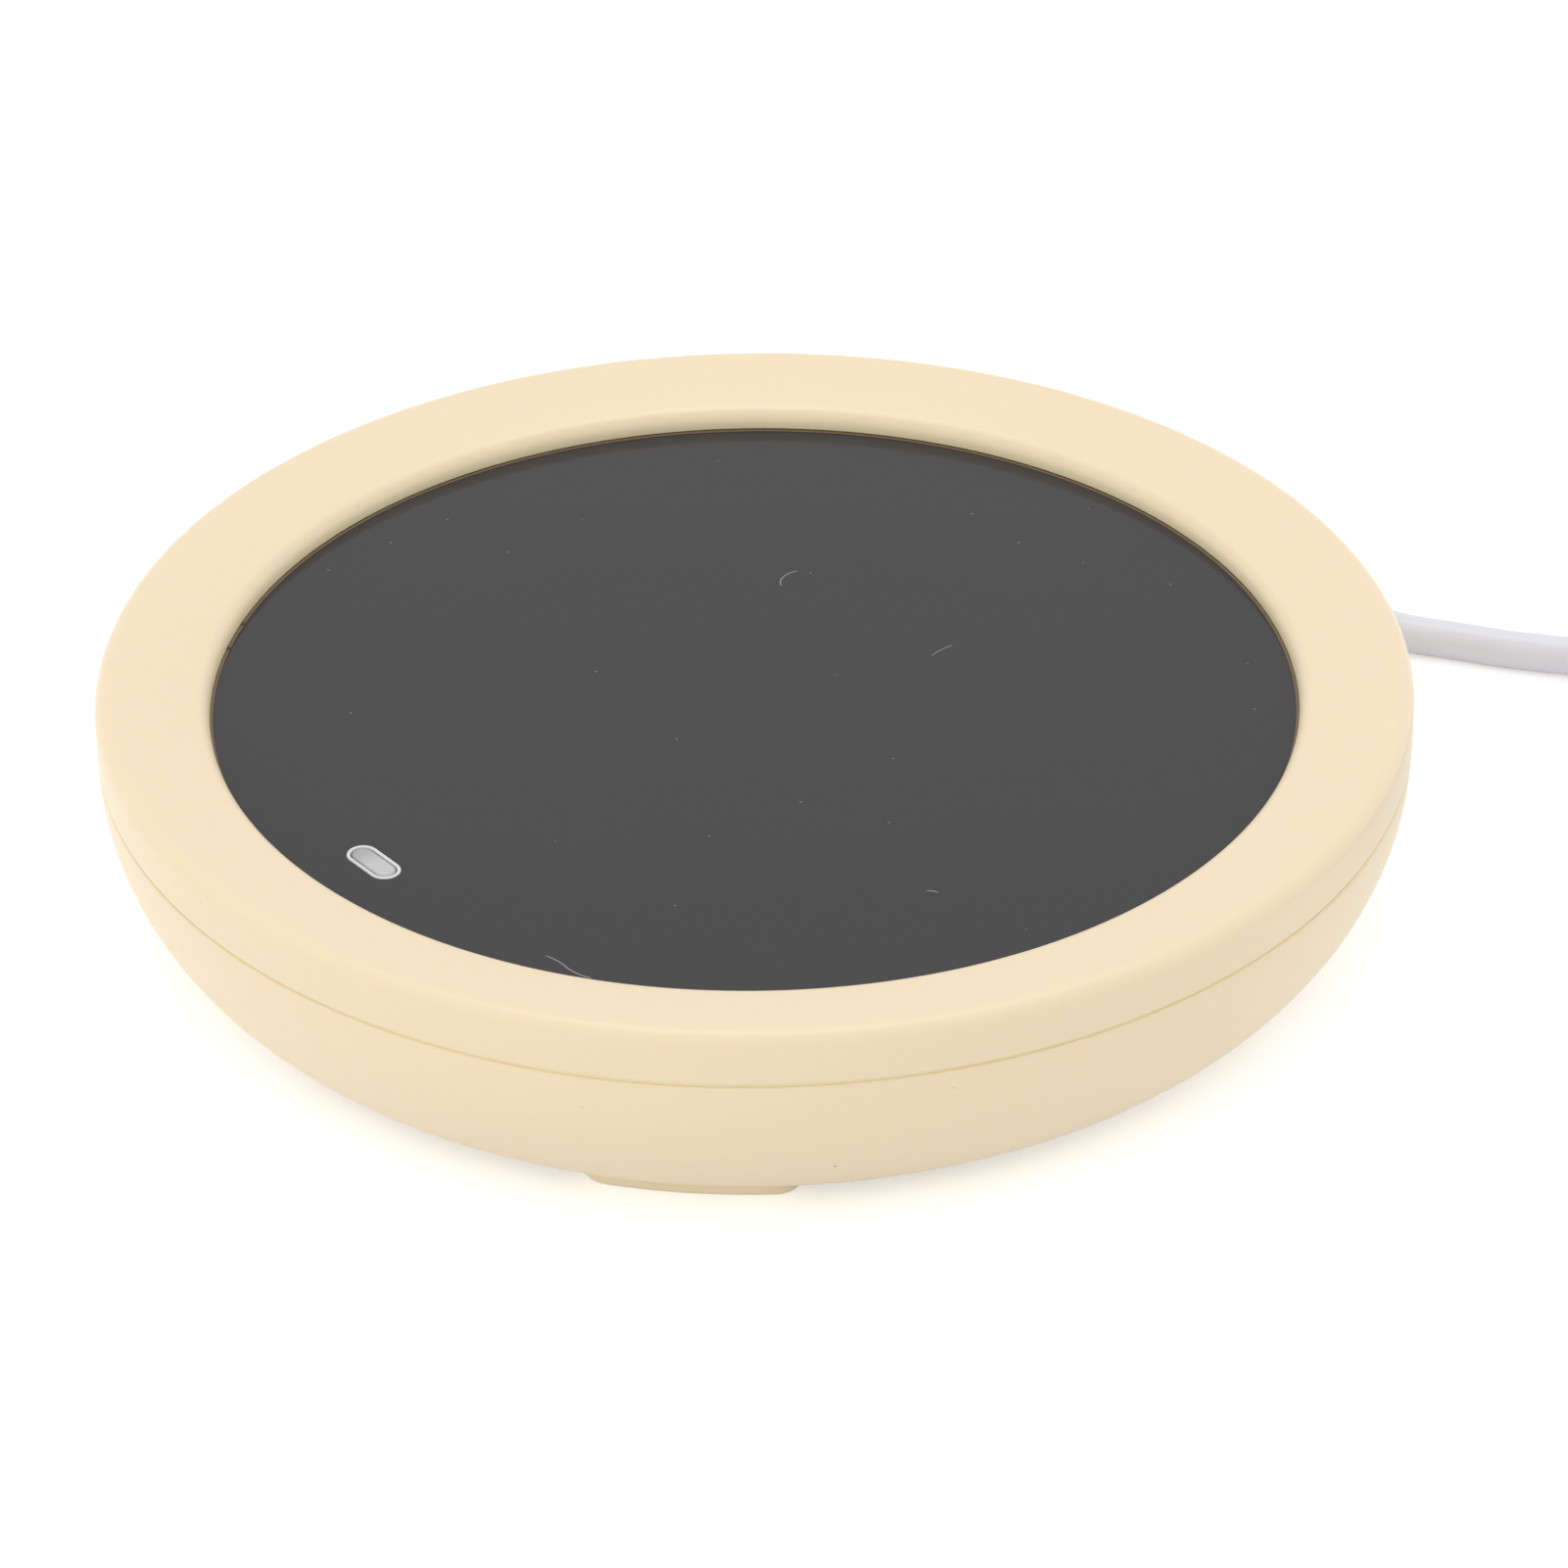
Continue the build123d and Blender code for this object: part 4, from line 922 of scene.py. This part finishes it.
foot_clearance = 0.1 * MM
pocket_bottom = -1.0 * MM
pocket_rings = [foot_ring(foot_clearance, height) for height in (pocket_bottom, foot_top)]
pockets = loft("pockets", pocket_rings, "cream_shell")
run_tree(
    pockets, carrying, Count=foot_count, First_Angle=first_foot, Material=finishes["cream_shell"],
)
cut(bowl, settle(pockets))

bush_radius = 2.7 * MM
bush_hole = bush_radius + 0.1 * MM
hole_start, hole_end = 55.0 * MM, 66.0 * MM
hole_corners = [(0, hole_start), (bush_hole, hole_start), (bush_hole, hole_end), (0, hole_end)]
hole_cutter = turn("hole_cutter", hole_corners, "cream_shell", segments=64)
to_rear = Matrix.Translation((0, 0, cord_exit.z)) @ Matrix.Rotation(radians(-90), 4, "X")
hole_cutter.data.transform(to_rear)
cut(bowl, hole_cutter)
settle(bowl)
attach(bowl, "case")
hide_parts("bottom_shell")
report(bowl)

# %% [markdown]
# ## The bush
# Where the lead leaves the case, a moulded bush closes the hole. It is turned about the lead, so
# it is drawn along the same tree and then laid on its side. Its mouth has a small round, so that
# the lead never rubs on an edge.

# %% Turn the bush
bush_low, bush_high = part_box("cord_gland")
flange_radius = 3.5 * MM
flange_end = bush_low.y + 1.6 * MM
nose_radius, nose_length = 2.6 * MM, 1.5 * MM
mouth_radius = cord_radius + 0.02 * MM
mouth_depth = 0.5 * MM
bush_corners = [
    (0, bush_low.y, 0),
    (flange_radius, bush_low.y, 0.3 * MM),
    (flange_radius, flange_end, 0.2 * MM),
    (bush_radius, flange_end, 0),
    (bush_radius, bush_high.y - nose_length, 0),
    (nose_radius, bush_high.y, 0.15 * MM),
    (mouth_radius, bush_high.y, 0.1 * MM),
    (mouth_radius, bush_high.y - mouth_depth, 0),
    (0, bush_high.y - mouth_depth, 0),
]
bush = turn("bush", rounded(bush_corners), "white_cord", segments=64)
bush.data.transform(to_rear)
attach(bush, "case")
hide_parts("cord_gland")
report(bush)

# %% [markdown]
# ## The key
# The key is a small lamp cover in a white ring, almost flush with the glass. Both are pill-shaped.
# The cap's face is hollowed by less than a tenth of a millimetre, enough to give it a gradient,
# and both have tiny edge rounds, which show as thin bright lines.


# %% Sizes of the key
key_low, key_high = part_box("power_key")
trim_low, trim_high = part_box("key_trim")
key_centre = Vector((0, (key_low.y + key_high.y) / 2))
trim_length, trim_width = 6.72 * MM, 3.14 * MM
ring_width = 0.37 * MM
key_gap = 0.16 * MM
bore_length, bore_width = trim_length - 2 * ring_width, trim_width - 2 * ring_width
trim_flange_top = glass_low.z
flange_grow = 1.6 * MM
edge_round = 0.16 * MM
print("key at", in_mm(key_centre))


# %% The white ring
def pill(length, width, grown, height, points_per_end=24):
    """Points round a pill along X about the key's centre, grown by a margin, at a height."""
    reach, half = width / 2 + grown, Vector(((length - width) / 2, 0))
    outline = [
        *arc(key_centre + half, reach, -pi / 2, pi, points_per_end),
        *arc(key_centre - half, reach, pi / 2, pi, points_per_end),
    ]
    return [(*point, height) for point in outline]


def quarter_round(length, width, side, top, size, steps=4):
    """Pills over an edge round: side 1 for an outer edge, -1 for the edge of a bore."""
    rings = []
    for number in range(steps + 1):
        angle = pi / 2 * number / steps
        grown = -side * size * (1 - cos(angle))
        rings.append(pill(length, width, grown, top - size * (1 - sin(angle))))
    return rings


outer_up = [
    pill(trim_length, trim_width, flange_grow / 2, trim_low.z),
    pill(trim_length, trim_width, flange_grow / 2, trim_flange_top),
    pill(trim_length, trim_width, 0, trim_flange_top),
    *quarter_round(trim_length, trim_width, 1, trim_high.z, edge_round),
]
inner_down = [
    *reversed(quarter_round(bore_length, bore_width, -1, trim_high.z, edge_round)),
    pill(bore_length, bore_width, 0, trim_low.z),
]
trim_rings = outer_up + inner_down
key_ring = loft("key_ring", trim_rings + trim_rings[:1], "key_trim", closed=False)
settle(key_ring)
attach(key_ring, "case")
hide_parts("key_trim")
report(key_ring)

# %% The cap
cap_length, cap_width = bore_length - 2 * key_gap, bore_width - 2 * key_gap
cap_round = 0.24 * MM
cap_hollow = 0.07 * MM
hollow_rings = 8
flange_low, flange_high = 17.15 * MM, 17.85 * MM
flange_margin = 0.9 * MM
stem_length, stem_width = 2.4 * MM, 1.6 * MM
cap_rings = [
    pill(stem_length, stem_width, 0, key_low.z),
    pill(stem_length, stem_width, 0, flange_low),
    pill(cap_length, cap_width, flange_margin, flange_low),
    pill(cap_length, cap_width, flange_margin, flange_high),
    pill(cap_length, cap_width, 0, flange_high),
    *quarter_round(cap_length, cap_width, 1, key_high.z, cap_round),
]
face_length, face_width = cap_length - 2 * cap_round, cap_width - 2 * cap_round
hollow_reach = 0.98 * face_width / 2
for number in range(1, hollow_rings + 1):
    share = number / hollow_rings
    depth = cap_hollow * (1 - cos(pi * share)) / 2
    cap_rings.append(pill(face_length, face_width, -hollow_reach * share, key_high.z - depth))
key_cap = loft("key_cap", cap_rings, "key_cap")
settle(key_cap)
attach(key_cap, "key")
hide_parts("power_key")
report(key_cap)

# %% [markdown]
# ## The strap round the coil
# A strip of hook-and-loop tape holds the coil. It is a band, skinned over outlines that hug the
# bundle: rectangles with large corner rounds. Its end overlaps on top, as a pressed-down tab.

# %% Make the strap
strap_bearing = -160.0
strap_out = beyond(Vector((0, 0, 0)), strap_bearing, 1.0)
strap_along = beyond(Vector((0, 0, 0)), strap_bearing + 90, 1.0)
strap_width, strap_thickness = 7.0 * MM, 0.5 * MM
bundle_inner, bundle_outer = 13.3 * MM, 30.25 * MM
bundle_low, bundle_high = 0.55 * MM, 9.05 * MM
bundle_round, outer_low_round = 2.2 * MM, 3.4 * MM
strap_steps = 7


def strap_place(outwards, across, height):
    """A point of the strap: outwards from the coil's middle, across the strap, and up."""
    return coil_centre + strap_out * outwards + strap_along * across + Vector((0, 0, height))


def strap_ring(grown, across):
    """The strap's outline round the bundle, grown by a margin, at a place across its width."""
    low, high = bundle_low - grown, bundle_high + grown
    near, far = bundle_inner - grown, bundle_outer + grown
    size = bundle_round + grown
    rounds = [size, outer_low_round + grown, size, size]
    path = rounded_box(near, far, low, high, rounds, strap_steps)
    return [strap_place(point.x, across, point.y) for point in path]


half_width, soft = strap_width / 2, 0.18 * MM
strap_rings = [
    strap_ring(0, soft - half_width),
    strap_ring(0, half_width - soft),
    strap_ring(soft / 2, half_width),
    strap_ring(strap_thickness - soft / 2, half_width),
    strap_ring(strap_thickness, half_width - soft),
    strap_ring(strap_thickness, soft - half_width),
    strap_ring(strap_thickness - soft / 2, -half_width),
    strap_ring(soft / 2, -half_width),
]
strap = loft("strap", strap_rings + strap_rings[:1], "tie", closed=False)
settle(strap)
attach(strap, "case")
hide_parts("coil_tie")
report(strap)

# %% The strap's loose end
tab_inner, tab_outer = 17.5 * MM, 26.5 * MM
tab_low = bundle_high + strap_thickness - 0.05 * MM
tab_high = tab_low + strap_thickness
tab_rounds = [1.6 * MM, 0.3 * MM, 0.3 * MM, 1.6 * MM]


def tab_ring(shrunk, height):
    """The outline of the strap's pressed-down end, at a height."""
    near, far, side = tab_inner + shrunk, tab_outer - shrunk, half_width - shrunk
    outline = rounded_box(near, far, -side, side, tab_rounds, strap_steps)
    return [strap_place(point.x, point.y, height) for point in outline]


tab_rings = [
    tab_ring(0, tab_low),
    tab_ring(0, tab_high - soft),
    tab_ring(soft / 2, tab_high - soft / 3),
    tab_ring(soft, tab_high),
]
strap_tab = loft("strap_tab", tab_rings, "tie")
settle(strap_tab, smooth_below=60)
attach(strap_tab, "case")
report(strap_tab)

# %% [markdown]
# ## The plug
# A USB plug is a moulded grip with a bent steel shell. The grip is lofted from rounded rectangles,
# waisted in the middle so that fingers find it; ribs on its neck let the lead bend softly. The
# ribs repeat, so one ring is drawn and a Geometry Nodes tree sets it along the neck.

# %% Frame of the plug
plug_place = Matrix.Translation(tail_end) @ Matrix.Rotation(radians(plug_heading), 4, "Z")
neck_length, grip_length = 8.0 * MM, 20.0 * MM
grip_end = neck_length + grip_length
shell_length = 12.0 * MM
steel_end = grip_end + shell_length


def bar_ring(distance, width, height, size, steps=8):
    """A rounded rectangle across the plug's axis, which is the X axis before it is placed."""
    outline = rounded_box(-width / 2, width / 2, -height / 2, height / 2, [size] * 4, steps)
    return [(distance, *point) for point in outline]


def lay(piece):
    """Moves a piece drawn along the X axis to the end of the lead."""
    piece.data.transform(plug_place)
    return piece


print("the plug's tip is at", in_mm(plug_place @ Vector((steel_end, 0, 0))))

# %% The grip
grip_stations = [
    # distance behind the neck, width, height and corner round in millimetres
    (0.0, 12.4, 5.2, 2.0),
    (0.25, 13.6, 6.2, 2.4),
    (0.9, 14.9, 7.2, 2.6),
    (2.0, 15.7, 7.8, 2.7),
    (3.4, 16.0, 8.0, 2.7),
    (6.0, 15.7, 7.9, 2.7),
    (9.0, 15.2, 7.75, 2.6),
    (12.0, 15.2, 7.75, 2.6),
    (15.0, 15.7, 7.9, 2.7),
    (17.6, 16.0, 8.0, 2.7),
    (19.3, 16.0, 8.0, 2.6),
    (19.85, 15.7, 7.7, 2.4),
    (20.0, 15.2, 7.2, 2.2),
]
grip_rings = [
    bar_ring(neck_length + distance * MM, width * MM, height * MM, size * MM)
    for distance, width, height, size in grip_stations
]
grip = loft("plug_grip", grip_rings, "white_cord")
settle(lay(grip), smooth_below=50)
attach(grip, "case")
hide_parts("plug_body")
report(grip)

# %% The neck
neck_start_radius, neck_end_radius = cord_radius + 0.15 * MM, 3.1 * MM
core_radius = neck_end_radius - 0.35 * MM
core_start, core_end = neck_length - 0.6 * MM, neck_length + 0.6 * MM
neck_corners = [
    (0, 0, 0),
    (neck_start_radius, 0, 0.1 * MM),
    (core_radius, core_start, 0),
    (core_radius, core_end, 0),
    (0, core_end, 0),
]
along_x = Matrix.Rotation(radians(-90), 4, "Z") @ Matrix.Rotation(radians(-90), 4, "X")
neck = turn("plug_neck", rounded(neck_corners), "white_cord", segments=64)
neck.data.transform(along_x)
lay(neck)
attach(neck, "case")
report(neck)

# %% The rib tree
ribbing, given = new_tree("ribbing", [
    ("Count", "NodeSocketInt", 4),
    ("Spacing", "NodeSocketFloat", 1.5 * MM),
    ("First Scale", "NodeSocketFloat", 1.0),
    ("Last Scale", "NodeSocketFloat", 1.2),
])
spacing = add_node(ribbing, "ShaderNodeCombineXYZ", Z=given["Spacing"])
places = add_node(ribbing, "GeometryNodeMeshLine", Count=given["Count"], Offset=spacing)
number = add_node(ribbing, "GeometryNodeInputIndex")
last = math_node(ribbing, "SUBTRACT", given["Count"], 1)
sizes = add_node(
    ribbing, "ShaderNodeMapRange", Value=number, From_Max=last,
    To_Min=given["First Scale"], To_Max=given["Last Scale"],
)
row_of_ribs = add_node(
    ribbing, "GeometryNodeInstanceOnPoints",
    Points=places, Instance=given["Geometry"], Scale=sizes,
)
end_tree(ribbing, given, row_of_ribs)
print("rib tree:", len(ribbing.nodes), "nodes")

# %% Set the ribs along the neck
rib_count, rib_spacing, first_rib = 5, 1.45 * MM, 1.1 * MM
rib_radius, rib_inner, rib_width = 2.5 * MM, 1.9 * MM, 0.8 * MM
rib_round = 0.25 * MM
rib_corners = [
    (rib_inner, -rib_width / 2, 0),
    (rib_radius, -rib_width / 2, rib_round),
    (rib_radius, rib_width / 2, rib_round),
    (rib_inner, rib_width / 2, 0),
]
ribs = turn("plug_ribs", rounded(rib_corners), "white_cord", segments=64)
run_tree(ribs, ribbing, Count=rib_count, Spacing=rib_spacing, First_Scale=1.0,
         Last_Scale=neck_end_radius / rib_radius, Material=finishes["white_cord"])
settle(ribs)
ribs.data.transform(along_x @ Matrix.Translation((0, 0, first_rib)))
lay(ribs)
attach(ribs, "case")
report(ribs)

# %% The steel shell
steel_width, steel_height, steel_wall = 12.0 * MM, 4.5 * MM, 0.3 * MM
steel_round = 0.6 * MM
lip = 0.1 * MM
hollow_width, hollow_height = steel_width - 2 * steel_wall, steel_height - 2 * steel_wall
steel_rings = [
    bar_ring(grip_end, steel_width, steel_height, steel_round),
    bar_ring(steel_end - lip, steel_width, steel_height, steel_round),
    bar_ring(steel_end, steel_width - lip, steel_height - lip, steel_round),
    bar_ring(steel_end, hollow_width, hollow_height, steel_round - steel_wall),
    bar_ring(grip_end, hollow_width, hollow_height, steel_round - steel_wall),
]
steel = loft("plug_steel", steel_rings + steel_rings[:1], "plug_steel", closed=False)
half_window = Vector((1.0 * MM, 1.2 * MM, steel_height))
window_middle = grip_end + 6.6 * MM
window_offset = 2.7 * MM
for side in (-1, 1):
    centre = Vector((window_middle, side * window_offset, 0))
    window = loft("window", box_rings(centre - half_window, centre + half_window), "plug_steel")
    cut(steel, settle(window))
settle(lay(steel), smooth_below=30)
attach(steel, "case")
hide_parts("plug_shell")
report(steel)

lead_curve.materials.append(finishes["white_cord"])
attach(lead, "case")
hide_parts("cord_tube", "cord_coil", "cord_tail")
print("the lead ends in", steel.name)

# %% [markdown]
# ## Light and table
# A white tent and a pale table: the world lights from all round, one lamp above and behind draws
# the line along the ridge, one in front lights the far lip, and one on each side shapes the case.
# Lamps and world together give a level face about as much light as its colour needs to come out as
# written. What the camera sees behind the object is made plain white by the Light Path node, for
# camera, glossy and transmission rays alike, and the table glows a little for the same rays.
# Matt surfaces get no light from either.


# %% A mask of rays that see the background
def seen_directly(tree):
    """1 for camera, glossy and transmission rays, 0 for light that the background sends out."""
    rays = add_node(tree, "ShaderNodeLightPath").outputs
    seen = rays["Is Camera Ray"]
    for label in ("Is Glossy Ray", "Is Transmission Ray"):
        seen = math_node(tree, "MAXIMUM", seen, rays[label])
    return seen


print("ray mask ready")


# %% World
world_light, backdrop_light = 0.82, 1.0
world = bpy.data.worlds.new("studio")
bpy.context.scene.world = world
world.use_nodes = True
world_tree = world.node_tree
sky = world_tree.nodes["Background"]
strength = add_node(
    world_tree, "ShaderNodeMapRange", Value=seen_directly(world_tree),
    To_Min=world_light, To_Max=backdrop_light,
)
fill(world_tree, sky.inputs["Color"], (1, 1, 1, 1))
fill(world_tree, sky.inputs["Strength"], strength)
print("world light", world_light)


# %% Lamps
def lamp(name, position, target, size, power, glossy=True):
    light = bpy.data.lights.new(name, "AREA")
    light.shape = "DISK"
    light.size = size
    light.energy = power
    piece = new_object(name, light)
    direction = Vector(target) - Vector(position)
    facing = direction.to_track_quat("-Z", "Y").to_matrix().to_4x4()
    piece.matrix_world = Matrix.Translation(position) @ facing
    piece.visible_glossy = glossy


lamp("overhead", (-0.24, 0.19, 0.9), (0, 0, 0.02), 0.5, 1.4)
lamp("front", (0.42, -0.33, 0.62), (0, 0, 0.01), 0.4, 0.6, glossy=False)
lamp("fill_left", (-0.22, -0.82, 0.18), (0, 0, 0.01), 0.4, 0.86, glossy=False)
lamp("fill_right", (0.26, 0.80, 0.18), (0, 0, 0.01), 0.4, 0.6, glossy=False)
print("four lamps")

# %% Table
table_size, table_thickness, table_glow = 6.0, 0.01, 0.45
table_finish = new_finish("table", (0.88, 0.88, 0.88), 0.6)
table_tree, shader = table_finish.node_tree, shader_of(table_finish)
glow = add_node(table_tree, "ShaderNodeEmission", Strength=table_glow)
lift = add_node(table_tree, "ShaderNodeAddShader", shader, glow)
choice = add_node(table_tree, "ShaderNodeMixShader", seen_directly(table_tree), shader, lift)
fill(table_tree, table_tree.nodes["Material Output"].inputs["Surface"], choice)
finishes["table"] = table_finish
table_rings = box_rings((-table_size, -table_size, -table_thickness), (table_size, table_size, 0))
table = loft("table", table_rings, "table")
print("table ready")

# %% Finish
bpy.context.scene.view_settings.view_transform = "Standard"
